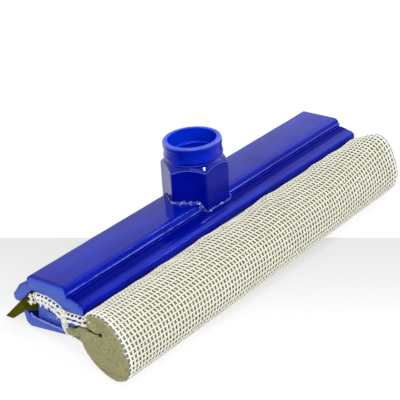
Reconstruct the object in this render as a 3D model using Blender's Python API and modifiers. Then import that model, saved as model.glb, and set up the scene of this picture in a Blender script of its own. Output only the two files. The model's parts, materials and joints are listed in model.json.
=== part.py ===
"""Window squeegee head: a threaded pole socket on a moulded bar, with a rubber blade along
its back and a netted sponge roll along its front, both held by a clamp bar screwed on from
below.

Everything is laid out in the bar's own frame: X along the bar, +Y towards the blade, Z up
the socket's axis, with the bar's flat top at Z = 0. The resting_frame empty then leans and
lifts the whole head, so that the roll and the blade's edge stand on the plane Z = 0.
Lengths are in metres.
"""
import math

import bmesh
import bpy
from mathutils import Matrix, Vector

# Fits
GAP = 0.0003
HOLE_CLEARANCE = 0.0004

# Small fillets
FINE_FILLET = 0.0003
SHEET_FILLET = 0.0010

# Bar: flat top with a bead along its front, then a groove and a flange, and a step at its back
BAR_LENGTH = 0.2032
TOP_FRONT = 0.0092
BEAD_WIDTH = 0.0034
BEAD_RADIUS = 0.0014
NOTCH_DEPTH = 0.0007
NOTCH_WIDTH = 0.0013
GROOVE_DEPTH = 0.0042
GROOVE_WIDTH = 0.0015
TOP_BACK = 0.0106
BACK_EDGE_RADIUS = 0.0013
BACK_STEP = 0.0033
BACK_STEP_WIDTH = 0.0012
ROOF_THICKNESS = 0.0062
BAR_END_ROUND = 0.0025

# Front flange, which the sponge hangs under, with a hooked rib behind it
FLANGE_WIDTH = 0.0075
FLANGE_FALL = 0.0024
FLANGE_TIP_THICKNESS = 0.0027
FLANGE_TIP_RADIUS = 0.0012
FLANGE_BEAD_WIDTH = 0.0024
FLANGE_BEAD_NOTCH = 0.0004
RIB_FORWARD_OF_CORE = 0.0023
RIB_DEPTH_UNDER_ROOF = 0.0042
RIB_HALF_WIDTH = 0.0006
CEILING_FRONT_STEP = 0.0023
CEILING_SHOULDER_FRONT = 0.0046
CEILING_SHOULDER_BACK = 0.0008
CEILING_STEP = 0.0008
CEILING_FILLET = 0.0020

# Back lip, which bears on the blade
LIP_KNEE_BACK = 0.0166
LIP_KNEE_DROP = 0.0060
LIP_REACH = 0.0208
LIP_DROP = 0.0110
LIP_TIP_RADIUS = 0.0016
LIP_BEARING_LENGTH = 0.0122

# Pole socket: threaded bore, walls round it, and the heights from the bar's top upwards
BORE_RADIUS = 0.01147
BORE_CHAMFER = 0.0007
BORE_FLOOR = 0.0025
NECK_WALL = 0.00173
COLLAR_WALL = 0.00253
HEXAGON_STAND = 0.00314
HEXAGON_HEIGHT = 0.01465
CONE_HEIGHT = 0.00255
NECK_HEIGHT = 0.0008
COLLAR_HEIGHT = 0.0083
COLLAR_CHAMFER = 0.0007
COLLAR_BAND_DEPTH = 0.0003
COLLAR_BAND_LOW = 0.0020
COLLAR_BAND_HIGH = 0.0058
THREAD_PITCH = 0.0042
THREAD_RIDGE_RADIUS = 0.0010
THREAD_STAND = 0.0008
THREAD_START = 0.0067
THREAD_RUNOUT = 0.0024
SPIGOT_RADIUS = 0.0070
SPIGOT_LENGTH = 0.0036

# Clamp bar: core, bottom plate with a curled back edge, and a tongue over the sponge's neck
CLAMP_END_SETBACK = 0.0003
CORE_END_SETBACK = 0.0012
CORE_FRONT = 0.0083
CORE_BACK_TOP = 0.0063
CORE_BACK_FOOT = 0.0088
PLATE_LEDGE = 0.0007
PLATE_FRONT_TOP = 0.0212
PLATE_FRONT_THICKNESS = 0.0018
PLATE_HEEL = 0.0128
PLATE_HEEL_DROP = 0.0256
CURL_REACH = 0.0164
CURL_TOP = 0.0179
CURL_INNER = 0.0142
CURL_BELLY_IN = 0.0011
CURL_BELLY_RISE = 0.0015
CURL_BELLY_RADIUS = 0.0020
POCKET_BACK = 0.0120
POCKET_FLOOR = 0.0201
TONGUE_LENGTH = 0.0077
TONGUE_DROP = 0.0155
TONGUE_RADIUS = 0.0016
TONGUE_END_SETBACK = 0.0008

# Blade: a root wedged behind the core and a wiping strip with a bevelled edge
BLADE_OVERHANG = 0.0002
BLADE_SLOPE = math.radians(42.6)
BLADE_ROOT_BACK = 0.0083
BLADE_FACE_LENGTH = 0.0276
BLADE_THICKNESS = 0.0035
BLADE_EDGE_THICKNESS = 0.0032
BLADE_EDGE_BEVEL = 0.0037
BLADE_WAIST_BACK = 0.0089
BLADE_WAIST_DROP = 0.0155
BLADE_FOOT_CLEARANCE = 0.0004

# Sponge: an oval roll on a neck, slit from its mouth to a small hole
SPONGE_OVERHANG = 0.0016
ROLL_AHEAD_OF_FLANGE = 0.0106
ROLL_DROP = 0.0210
ROLL_SHORT_RADIUS = 0.01135
ROLL_LONG_RADIUS = 0.0157
ROLL_TILT = math.radians(32.7)
NECK_CLEARANCE = 0.0005
NECK_SETBACK = 0.0012
NECK_THICKNESS = 0.0026
NECK_SLOPE = 0.142
NECK_FILLET = 0.0005
THROAT_START = 0.0010
THROAT_LENGTH = 0.0036
THROAT_DROP = 0.0150
MOUTH_ROOM = 0.0009
MOUTH_DROP = 0.0132
MOUTH_FILLET = 0.0012
SLIT_LENGTH = 0.0080
SLIT_DROP = 0.0145
SLIT_WIDTH = 0.0005
SLIT_HOLE_RADIUS = 0.0008

# Net sleeve: one sheet clamped over the core and wrapped round the roll
NET_OVERHANG = 0.0009
NET_THICKNESS = 0.0007
NET_TAIL_DROP = 0.0130
NET_TURN_ROOM = 0.00005
NET_NOTCH_EASE = math.radians(5)

# Clamp screws, driven up from the bottom plate into the bar
SCREWS_PER_SIDE = 3
SCREW_FIRST = 0.0165
SCREW_END_DISTANCE = 0.0191
SCREW_SHANK_RADIUS = 0.0015
SCREW_THREAD_DEPTH = 0.0003
SCREW_THREAD_PITCH = 0.0013
SCREW_THREADED = 0.0085
SCREW_COVER = 0.0010
SCREW_TIP_ROOM = 0.0009
SCREW_TIP_RADIUS = 0.0004
SCREW_POINT = 0.0012
SCREW_HEAD_RADIUS = 0.0030
SCREW_HEAD_HEIGHT = 0.0021
SCREW_HEAD_RIM = 0.0007
SCREW_HEAD_FLAT = 0.0015
SCREW_SEAT_DEPTH = 0.0035
SCREW_SLOT_WIDTH = 0.0009
SCREW_SLOT_LENGTH = 0.0036
SCREW_SLOT_DEPTH = 0.0011

# Facets
ARC_STEPS = 4
HOLE_SIDES = 12
ROUND_SIDES = 64
SCREW_SIDES = 16
ROLL_STEPS = 72
HELIX_STEPS = 24
SMOOTH_ANGLE = math.radians(35)
STRAIGHT_ANGLE = math.radians(0.5)

# Derived places along Y, shared by the pieces that meet there
NET_SHEET_OFFSET = GAP + NET_THICKNESS / 2
BAR_FRONT = TOP_FRONT + BEAD_WIDTH
FLANGE_ROOT = BAR_FRONT + GROOVE_WIDTH
FLANGE_REACH = FLANGE_ROOT + FLANGE_WIDTH
RIB_FORWARD = CORE_FRONT + RIB_FORWARD_OF_CORE
PLATE_FRONT = CORE_FRONT + PLATE_LEDGE
NECK_END = PLATE_FRONT + 2 * NET_SHEET_OFFSET + NECK_SETBACK
TONGUE_REACH = CORE_FRONT + TONGUE_LENGTH
MOUTH_FORWARD = FLANGE_REACH + 2 * NET_SHEET_OFFSET + MOUTH_ROOM
ROLL_FORWARD = FLANGE_REACH + ROLL_AHEAD_OF_FLANGE
SLIT_FORWARD = MOUTH_FORWARD + SLIT_LENGTH

# Derived heights
FLANGE_DROP = GROOVE_DEPTH + FLANGE_FALL
FLANGE_UNDERSIDE = FLANGE_DROP + FLANGE_TIP_THICKNESS
RIB_DROP = ROOF_THICKNESS + RIB_DEPTH_UNDER_ROOF
CORE_TOP = ROOF_THICKNESS + 2 * NET_SHEET_OFFSET
CORE_FOOT = PLATE_FRONT_TOP + PLATE_FRONT_THICKNESS / 2
NECK_TOP = TONGUE_DROP + TONGUE_RADIUS + NECK_CLEARANCE
CONE_TOP = HEXAGON_HEIGHT + CONE_HEIGHT
COLLAR_BASE = CONE_TOP + NECK_HEIGHT
COLLAR_TOP = COLLAR_BASE + COLLAR_HEIGHT

# Derived radii of the socket
NECK_RADIUS = BORE_RADIUS + NECK_WALL
COLLAR_RADIUS = BORE_RADIUS + COLLAR_WALL
HEXAGON_RADIUS = NECK_RADIUS + HEXAGON_STAND

# Derived lengths along X
CLAMP_LENGTH = BAR_LENGTH - 2 * CLAMP_END_SETBACK
BLADE_LENGTH = BAR_LENGTH + 2 * BLADE_OVERHANG
SPONGE_LENGTH = BAR_LENGTH + 2 * SPONGE_OVERHANG
NET_LENGTH = BAR_LENGTH + 2 * NET_OVERHANG

# Directions and centres in the YZ section
BLADE_RUN = Vector((math.cos(BLADE_SLOPE), -math.sin(BLADE_SLOPE)))
BLADE_NORMAL = Vector((math.sin(BLADE_SLOPE), math.cos(BLADE_SLOPE)))
BLADE_APEX = Vector((BLADE_ROOT_BACK, -ROOF_THICKNESS - GAP))
ROLL_CENTRE = Vector((-ROLL_FORWARD, -ROLL_DROP))
ROLL_SHORT_AXIS = Vector((math.cos(ROLL_TILT), -math.sin(ROLL_TILT)))
ROLL_LONG_AXIS = Vector((math.sin(ROLL_TILT), math.cos(ROLL_TILT)))
ROLL_SKIN = GAP + NET_THICKNESS


def clear_scene():
    """Start from an empty file."""
    for item in list(bpy.data.objects):
        bpy.data.objects.remove(item, do_unlink=True)


def make_collection(name):
    """Add a collection to the scene."""
    group = bpy.data.collections.new(name)
    bpy.context.scene.collection.children.link(group)
    return group


def make_material(name, colour, roughness, metallic=0.0):
    """Principled material with one colour."""
    material = bpy.data.materials.new(name)
    material.use_nodes = True
    shader = material.node_tree.nodes["Principled BSDF"]
    shader.inputs["Base Color"].default_value = (*colour, 1.0)
    shader.inputs["Roughness"].default_value = roughness
    shader.inputs["Metallic"].default_value = metallic
    material.diffuse_color = (*colour, 1.0)
    return material


def link_part(item, material, smooth_angle=None):
    """Put a finished piece in the parts collection, on the resting frame."""
    parts.objects.link(item)
    item.parent = resting_frame
    item.data.materials.append(material)
    if smooth_angle is not None:
        item.data.shade_smooth()
        item.data.set_sharp_from_angle(angle=smooth_angle)


def link_tool(item):
    """Put a cutter or a joined-in form in the cutters collection, out of sight."""
    cutters.objects.link(item)
    item.parent = resting_frame
    item.hide_render = True
    item.display_type = "WIRE"


def combine(target, tool, operation):
    """Cut, join or intersect a piece with a tool that stays as its own hidden object."""
    link_tool(tool)
    step = target.modifiers.new(tool.name, "BOOLEAN")
    step.operation = operation
    step.solver = "EXACT"
    step.object = tool


def arc_corner(before, here, after, radius):
    """Points of the arc that rounds one corner, or the corner itself where it is straight."""
    to_before = before - here
    to_after = after - here
    half_angle = to_before.angle(to_after) / 2
    if radius <= 0 or math.pi / 2 - half_angle < STRAIGHT_ANGLE:
        return [here]
    longest_reach = 0.49 * min(to_before.length, to_after.length)
    reach = min(radius / math.tan(half_angle), longest_reach)
    radius = reach * math.tan(half_angle)
    to_before.normalize()
    to_after.normalize()
    centre = here + (to_before + to_after).normalized() * radius / math.sin(half_angle)
    start = here + to_before * reach - centre
    end = here + to_after * reach - centre
    sweep = math.pi - 2 * half_angle
    points = []
    for step in range(ARC_STEPS + 1):
        share = step / ARC_STEPS
        weight_start = math.sin((1 - share) * sweep) / math.sin(sweep)
        weight_end = math.sin(share * sweep) / math.sin(sweep)
        points.append(centre + start * weight_start + end * weight_end)
    return points


def rounded(corners, closed=True):
    """Outline through (a, b, radius) corners, with each corner turned by a tangent arc."""
    places = [Vector(corner[:2]) for corner in corners]
    outline = []
    for index, corner in enumerate(corners):
        inner = closed or 0 < index < len(corners) - 1
        before = places[index - 1]
        after = places[(index + 1) % len(places)]
        outline += arc_corner(before, places[index], after, corner[2] if inner else 0)
    return outline


def parallel(points, distance):
    """Open line through (y, z) points, moved square to itself to the left of its direction."""
    places = [Vector(point[:2]) for point in points]
    runs = [(end - start).normalized() for start, end in zip(places, places[1:])]
    moved = []
    for index, place in enumerate(places):
        before = runs[max(index - 1, 0)]
        after = runs[min(index, len(runs) - 1)]
        square = Vector((-before.y - after.y, before.x + after.x))
        moved.append(place + square * distance / (1 + before.dot(after)))
    return moved


def prism(name, outline, half_length, along="X"):
    """Solid of an outline in the YZ plane drawn out along X, or in XZ drawn out along Y."""
    curve = bpy.data.curves.new(name, "CURVE")
    curve.dimensions = "2D"
    curve.fill_mode = "BOTH"
    curve.extrude = half_length
    spline = curve.splines.new("POLY")
    spline.points.add(len(outline) - 1)
    for point, place in zip(spline.points, outline):
        point.co = (place[0], place[1], 0, 1)
    spline.use_cyclic_u = True
    guide = bpy.data.objects.new(name + "_outline", curve)
    turn = math.pi / 2 if along == "X" else 0
    guide.rotation_euler = (math.pi / 2, 0, turn)
    return curve_to_solid(name, guide)


def curve_to_solid(name, guide):
    """Mesh object of a curve object, welded shut, in the curve's place."""
    bpy.context.scene.collection.objects.link(guide)
    bpy.context.view_layer.update()
    depsgraph = bpy.context.evaluated_depsgraph_get()
    mesh = bpy.data.meshes.new_from_object(guide.evaluated_get(depsgraph))
    mesh.name = name
    shape = bmesh.new()
    shape.from_mesh(mesh)
    bmesh.ops.remove_doubles(shape, verts=shape.verts, dist=1e-6)
    bmesh.ops.recalc_face_normals(shape, faces=shape.faces)
    shape.to_mesh(mesh)
    shape.free()
    mesh.transform(guide.matrix_world)
    item = bpy.data.objects.new(name, mesh)
    curve = guide.data
    bpy.data.objects.remove(guide)
    bpy.data.curves.remove(curve)
    return item


def turned(name, profile, sides):
    """Turned solid: a profile of (radius, z) points, top to bottom, swept round Z."""
    mesh = bpy.data.meshes.new(name)
    edges = [(index, index + 1) for index in range(len(profile) - 1)]
    mesh.from_pydata([(radius, 0, z) for radius, z in profile], edges, [])
    item = bpy.data.objects.new(name, mesh)
    sweep = item.modifiers.new("turn", "SCREW")
    sweep.steps = sides
    sweep.render_steps = sides
    sweep.use_merge_vertices = True
    sweep.merge_threshold = 1e-6
    return item


def cylinder(name, radius, low, high, sides, x=0.0):
    """Upright round tool between two heights."""
    item = turned(name, [(0, high), (radius, high), (radius, low), (0, low)], sides)
    item.location.x = x
    return item


def front_corners():
    """Flat top's front edge, over the bead and down into the groove."""
    return [
        (-TOP_FRONT, 0, 0.4 * NOTCH_WIDTH),
        (-TOP_FRONT - NOTCH_WIDTH / 2, -NOTCH_DEPTH, 0.3 * NOTCH_WIDTH),
        (-TOP_FRONT - NOTCH_WIDTH, 0, 0.4 * NOTCH_WIDTH),
        (-BAR_FRONT, 0, BEAD_RADIUS),
        (-BAR_FRONT, -GROOVE_DEPTH, 0.4 * GROOVE_WIDTH),
        (-BAR_FRONT - GROOVE_WIDTH, -GROOVE_DEPTH, 0.3 * GROOVE_WIDTH),
    ]


def flange_corners():
    """Front flange from its groove, out round its tip and back along its underside."""
    fall = FLANGE_FALL / FLANGE_WIDTH
    bead_start = FLANGE_REACH - FLANGE_BEAD_WIDTH
    bead_height = -GROOVE_DEPTH - fall * (bead_start - FLANGE_ROOT)
    notch = bead_start + FLANGE_BEAD_NOTCH
    crest = bead_start + 2 * FLANGE_BEAD_NOTCH
    return [
        (-bead_start, bead_height, FLANGE_BEAD_NOTCH),
        (-notch, bead_height - FLANGE_BEAD_NOTCH, FLANGE_BEAD_NOTCH / 2),
        (-crest, bead_height, FLANGE_BEAD_NOTCH),
        (-FLANGE_REACH, -FLANGE_DROP, FLANGE_TIP_RADIUS),
        (-FLANGE_REACH, -FLANGE_UNDERSIDE, FLANGE_TIP_RADIUS),
        (-RIB_FORWARD - RIB_HALF_WIDTH, -RIB_DROP, RIB_HALF_WIDTH),
        (-RIB_FORWARD + RIB_HALF_WIDTH, -RIB_DROP, RIB_HALF_WIDTH),
        *[(y, z, CEILING_FILLET) for y, z in roof_line()[1:-1]],
    ]


def roof_line():
    """Underside of the roof, from the rib to above the core's back corner."""
    return [
        (-RIB_FORWARD + RIB_HALF_WIDTH, -RIB_DROP),
        (-CORE_FRONT, -ROOF_THICKNESS - CEILING_FRONT_STEP),
        (-CEILING_SHOULDER_FRONT, -ROOF_THICKNESS - CEILING_STEP),
        (-CEILING_SHOULDER_BACK, -ROOF_THICKNESS),
        (CORE_BACK_TOP, -ROOF_THICKNESS),
    ]


def core_top_line():
    """Top of the core, one net sheet and its clearances below the roof."""
    return parallel(roof_line(), -2 * NET_SHEET_OFFSET)[1:]


def lip_corners():
    """Back lip: down along the blade, round its tip, then up over its step to the top."""
    bearing = BLADE_APEX + BLADE_NORMAL * GAP
    root = bearing + BLADE_RUN * (-ROOF_THICKNESS - bearing.y) / BLADE_RUN.y
    toe = bearing + BLADE_RUN * LIP_BEARING_LENGTH
    return [
        (root.x, root.y, FINE_FILLET),
        (toe.x, toe.y, LIP_TIP_RADIUS / 3),
        (LIP_REACH, toe.y, LIP_TIP_RADIUS),
        (LIP_REACH, -LIP_DROP, LIP_TIP_RADIUS),
        (LIP_KNEE_BACK, -LIP_KNEE_DROP, LIP_TIP_RADIUS),
        (TOP_BACK + BACK_STEP_WIDTH, -BACK_STEP, BACK_STEP_WIDTH / 2),
        (TOP_BACK, -BACK_STEP, BACK_STEP_WIDTH / 3),
        (TOP_BACK, 0, BACK_EDGE_RADIUS),
    ]


def make_bar():
    """Bar moulding: drawn section, rounded ends, seat for the socket, screw pilots."""
    corners = front_corners() + flange_corners() + lip_corners()
    bar = prism("bar", rounded(corners), BAR_LENGTH / 2)
    depth = 2 * (RIB_DROP + LIP_DROP)
    half = BAR_LENGTH / 2
    end_form = [
        (-half, -depth, 0),
        (half, -depth, 0),
        (half, 0, BAR_END_ROUND),
        (-half, 0, BAR_END_ROUND),
    ]
    form_half = FLANGE_REACH + LIP_REACH
    combine(bar, prism("bar_end_form", rounded(end_form), form_half, along="Y"), "INTERSECT")
    seat = cylinder("socket_seat", SPIGOT_RADIUS + GAP, -SPIGOT_LENGTH - GAP, COLLAR_TOP, ROUND_SIDES)
    combine(bar, seat, "DIFFERENCE")
    for number, x in enumerate(screw_places(), start=1):
        radius = SCREW_SHANK_RADIUS + GAP
        pilot = cylinder(f"screw_pilot_{number}", radius, -depth, -SCREW_COVER, SCREW_SIDES, x)
        combine(bar, pilot, "DIFFERENCE")
    link_part(bar, blue_plastic, SMOOTH_ANGLE)


def hexagon(name, low, high):
    """Six-sided prism with corners on the X axis and flats across Y."""
    shape = bmesh.new()
    bmesh.ops.create_cone(
        shape, cap_ends=True, segments=6, radius1=HEXAGON_RADIUS, radius2=HEXAGON_RADIUS, depth=high - low
    )
    corner_on_x = any(abs(vert.co.y) < 1e-6 for vert in shape.verts)
    if not corner_on_x:
        bmesh.ops.rotate(shape, verts=shape.verts, matrix=Matrix.Rotation(math.pi / 6, 3, "Z"))
    bmesh.ops.translate(shape, verts=shape.verts, vec=(0, 0, (low + high) / 2))
    mesh = bpy.data.meshes.new(name)
    shape.to_mesh(mesh)
    shape.free()
    return bpy.data.objects.new(name, mesh)


def socket_profile():
    """Outside of the socket: collar with a shallow band, neck and the cone over the hexagon."""
    band = COLLAR_RADIUS - COLLAR_BAND_DEPTH
    cone_slope = CONE_HEIGHT / HEXAGON_STAND
    low = -GROOVE_DEPTH
    return [
        (0, COLLAR_TOP),
        (COLLAR_RADIUS - COLLAR_CHAMFER, COLLAR_TOP),
        (COLLAR_RADIUS, COLLAR_TOP - COLLAR_CHAMFER),
        (COLLAR_RADIUS, COLLAR_BASE + COLLAR_BAND_HIGH),
        (band, COLLAR_BASE + COLLAR_BAND_HIGH - COLLAR_BAND_DEPTH),
        (band, COLLAR_BASE + COLLAR_BAND_LOW + COLLAR_BAND_DEPTH),
        (COLLAR_RADIUS, COLLAR_BASE + COLLAR_BAND_LOW),
        (COLLAR_RADIUS, COLLAR_BASE),
        (NECK_RADIUS, COLLAR_BASE),
        (NECK_RADIUS, CONE_TOP),
        (HEXAGON_RADIUS + GAP, HEXAGON_HEIGHT - cone_slope * GAP),
        (HEXAGON_RADIUS + GAP, low),
        (0, low),
    ]


def thread_ridge():
    """Helical ridge inside the bore, as a round rod let into the wall."""
    top = COLLAR_TOP - THREAD_START
    turns = (top - BORE_FLOOR - THREAD_RUNOUT) / THREAD_PITCH
    points = int(turns * HELIX_STEPS) + 1
    curve = bpy.data.curves.new("thread_ridge", "CURVE")
    curve.dimensions = "3D"
    curve.bevel_depth = THREAD_RIDGE_RADIUS
    curve.bevel_resolution = 2
    curve.use_fill_caps = True
    spline = curve.splines.new("POLY")
    spline.points.add(points - 1)
    radius = BORE_RADIUS + THREAD_RIDGE_RADIUS - THREAD_STAND
    for index, point in enumerate(spline.points):
        turn = index / HELIX_STEPS
        angle = 2 * math.pi * turn
        height = top - THREAD_PITCH * turn
        point.co = (radius * math.cos(angle), radius * math.sin(angle), height, 1)
    guide = bpy.data.objects.new("thread_ridge_path", curve)
    return curve_to_solid("thread_ridge", guide)


def make_pole_socket():
    """Socket moulding: hexagon under a chamfer cone, collar, threaded blind bore, spigot."""
    socket = turned("pole_socket", socket_profile(), ROUND_SIDES)
    hexed = hexagon("hexagon_form", -2 * GROOVE_DEPTH, 2 * COLLAR_TOP)
    combine(socket, hexed, "INTERSECT")
    underside = [
        (-2 * HEXAGON_RADIUS, -2 * GROOVE_DEPTH, 0),
        (2 * HEXAGON_RADIUS, -2 * GROOVE_DEPTH, 0),
        (2 * HEXAGON_RADIUS, -BACK_STEP + GAP, 0),
        (TOP_BACK + GAP, -BACK_STEP + GAP, 0),
        (TOP_BACK + GAP, GAP, BACK_EDGE_RADIUS + GAP),
        (-BAR_FRONT - GAP, GAP, BEAD_RADIUS + GAP),
        (-BAR_FRONT - GAP, -GROOVE_DEPTH + GAP, 0),
        (-2 * HEXAGON_RADIUS, -GROOVE_DEPTH + GAP, 0),
    ]
    combine(socket, prism("bar_clearance", rounded(underside), 2 * HEXAGON_RADIUS), "DIFFERENCE")
    bore = [
        (0, 2 * COLLAR_TOP),
        (BORE_RADIUS + BORE_CHAMFER, 2 * COLLAR_TOP),
        (BORE_RADIUS + BORE_CHAMFER, COLLAR_TOP),
        (BORE_RADIUS, COLLAR_TOP - BORE_CHAMFER),
        (BORE_RADIUS, BORE_FLOOR),
        (0, BORE_FLOOR),
    ]
    combine(socket, turned("bore", bore, ROUND_SIDES), "DIFFERENCE")
    combine(socket, thread_ridge(), "UNION")
    spigot = cylinder("spigot", SPIGOT_RADIUS, -SPIGOT_LENGTH, BORE_FLOOR / 2, ROUND_SIDES)
    combine(socket, spigot, "UNION")
    link_part(socket, blue_plastic, SMOOTH_ANGLE)


def plate_underside(y):
    """Height of the clamp bar's flat underside at a distance back from the middle."""
    front = -PLATE_FRONT_TOP - PLATE_FRONT_THICKNESS
    fall = (PLATE_HEEL_DROP + front) / (PLATE_HEEL + PLATE_FRONT)
    return front - fall * (y + PLATE_FRONT)


def screw_seat():
    """Height of the step that a screw's head bears on."""
    return plate_underside(0) + SCREW_SEAT_DEPTH


def blade_inner_point(height, clearance=0.0):
    """Point of the blade's inner face, or of a line under it, at a given height."""
    foot = BLADE_APEX - BLADE_NORMAL * (BLADE_THICKNESS + clearance)
    return foot + BLADE_RUN * (height - foot.y) / BLADE_RUN.y


def make_clamp_bar():
    """Clamp moulding: wedge plate with a curled back edge, core block and front tongue."""
    curl_tip = blade_inner_point(-CURL_TOP, GAP)
    curl_side = curl_tip + BLADE_RUN * (CURL_REACH - curl_tip.x) / BLADE_RUN.x
    heel_underside = plate_underside(PLATE_HEEL)
    plate = [
        (-PLATE_FRONT, -PLATE_FRONT_TOP, FINE_FILLET),
        (POCKET_BACK, -POCKET_FLOOR, 2 * FINE_FILLET),
        (CURL_INNER, -CURL_TOP, FINE_FILLET),
        (curl_tip.x, curl_tip.y, FINE_FILLET),
        (curl_side.x, curl_side.y, 2 * FINE_FILLET),
        (CURL_REACH - CURL_BELLY_IN, heel_underside + CURL_BELLY_RISE, CURL_BELLY_RADIUS),
        (PLATE_HEEL, heel_underside, CURL_BELLY_RADIUS),
        (-PLATE_FRONT, plate_underside(-PLATE_FRONT), FINE_FILLET),
    ]
    clamp = prism("clamp_bar", rounded(plate), CLAMP_LENGTH / 2)
    core = [
        *[(place.x, place.y, SHEET_FILLET) for place in core_top_line()[:-1]],
        (CORE_BACK_TOP, -CORE_TOP, 2 * FINE_FILLET),
        (CORE_BACK_FOOT, -CORE_FOOT, 0),
        (-CORE_FRONT, -CORE_FOOT, 0),
    ]
    core_half = CLAMP_LENGTH / 2 - CORE_END_SETBACK
    combine(clamp, prism("core_form", rounded(core), core_half), "UNION")
    tongue = [
        (0, -TONGUE_DROP + TONGUE_RADIUS, 0),
        (0, -TONGUE_DROP - TONGUE_RADIUS, 0),
        (-TONGUE_REACH, -TONGUE_DROP - TONGUE_RADIUS, TONGUE_RADIUS),
        (-TONGUE_REACH, -TONGUE_DROP + TONGUE_RADIUS, TONGUE_RADIUS),
    ]
    tongue_half = CLAMP_LENGTH / 2 - TONGUE_END_SETBACK
    combine(clamp, prism("tongue_form", rounded(tongue), tongue_half), "UNION")
    hole_radius = SCREW_SHANK_RADIUS + HOLE_CLEARANCE
    recess_radius = SCREW_HEAD_RADIUS + HOLE_CLEARANCE
    low = -2 * PLATE_HEEL_DROP
    stepped = [
        (0, 0),
        (hole_radius, 0),
        (hole_radius, screw_seat()),
        (recess_radius, screw_seat()),
        (recess_radius, low),
        (0, low),
    ]
    for number, x in enumerate(screw_places(), start=1):
        hole = turned(f"screw_hole_{number}", stepped, SCREW_SIDES)
        hole.location.x = x
        combine(clamp, hole, "DIFFERENCE")
    link_part(clamp, blue_plastic, SMOOTH_ANGLE)


def blade_corners():
    """Blade section: outer face, bevelled wiping edge, underside, and the root's wedge."""
    edge = BLADE_APEX + BLADE_RUN * BLADE_FACE_LENGTH
    inner_edge = edge - BLADE_NORMAL * BLADE_EDGE_THICKNESS - BLADE_RUN * BLADE_EDGE_BEVEL
    fork = blade_inner_point(-CURL_TOP + GAP)
    pocket = parallel([(POCKET_BACK, -POCKET_FLOOR), (CURL_INNER, -CURL_TOP)], GAP)
    foot = -POCKET_FLOOR + BLADE_FOOT_CLEARANCE
    return [
        (BLADE_APEX.x, BLADE_APEX.y, FINE_FILLET),
        (edge.x, edge.y, FINE_FILLET / 3),
        (inner_edge.x, inner_edge.y, FINE_FILLET),
        (fork.x, fork.y, FINE_FILLET),
        (pocket[1].x, -CURL_TOP + GAP, FINE_FILLET),
        (pocket[0].x, foot, FINE_FILLET),
        (CORE_BACK_FOOT + GAP + BLADE_FOOT_CLEARANCE, foot, FINE_FILLET),
        (BLADE_WAIST_BACK, -BLADE_WAIST_DROP, SHEET_FILLET),
    ]


def make_blade():
    """Rubber blade, drawn out a little past the bar at both ends."""
    blade = prism("blade", rounded(blade_corners()), BLADE_LENGTH / 2)
    link_part(blade, blade_rubber, SMOOTH_ANGLE)


def roll_outline(skin):
    """Oval of the sponge roll, grown outwards by a skin."""
    outline = []
    for step in range(ROLL_STEPS):
        angle = 2 * math.pi * step / ROLL_STEPS
        outline.append(roll_point(angle, skin))
    return outline


def roll_point(angle, skin):
    """Point of the roll's oval at an angle from its short axis."""
    across = (ROLL_SHORT_RADIUS + skin) * math.cos(angle)
    along = (ROLL_LONG_RADIUS + skin) * math.sin(angle)
    return ROLL_CENTRE + ROLL_SHORT_AXIS * across + ROLL_LONG_AXIS * along


def neck_underside(y):
    """Height of the neck's underside at a signed distance from the middle."""
    return -NECK_TOP - NECK_THICKNESS + NECK_SLOPE * (y + PLATE_FRONT)


def make_sponge():
    """Sponge: roll and neck in one, slit from the mouth to a small hole."""
    half = SPONGE_LENGTH / 2
    sponge = prism("sponge", roll_outline(0), half)
    neck = [
        (-NECK_END, -THROAT_DROP, 0),
        (-NECK_END, neck_underside(-NECK_END), NECK_FILLET),
        (-ROLL_FORWARD, neck_underside(-ROLL_FORWARD), 0),
        (-ROLL_FORWARD, -THROAT_DROP, 0),
    ]
    combine(sponge, prism("neck_form", rounded(neck), half), "UNION")
    mouth = [
        (0, 0, 0),
        (-MOUTH_FORWARD, 0, 0),
        (-MOUTH_FORWARD, -MOUTH_DROP, MOUTH_FILLET),
        (-SLIT_FORWARD, -SLIT_DROP, 0),
        (-SLIT_FORWARD, -SLIT_DROP - SLIT_WIDTH, 0),
        (-TONGUE_REACH - THROAT_LENGTH, -THROAT_DROP, MOUTH_FILLET),
        (-TONGUE_REACH + THROAT_START, -NECK_TOP, MOUTH_FILLET),
        (0, -NECK_TOP, 0),
    ]
    combine(sponge, prism("mouth_form", rounded(mouth), 2 * half), "DIFFERENCE")
    hole = []
    for step in range(HOLE_SIDES):
        angle = 2 * math.pi * step / HOLE_SIDES
        y = -SLIT_FORWARD + SLIT_HOLE_RADIUS * math.cos(angle)
        hole.append((y, -SLIT_DROP - SLIT_WIDTH / 2 + SLIT_HOLE_RADIUS * math.sin(angle)))
    combine(sponge, prism("slit_hole", hole, 2 * half), "DIFFERENCE")
    link_part(sponge, sponge_foam, SMOOTH_ANGLE)


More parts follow.
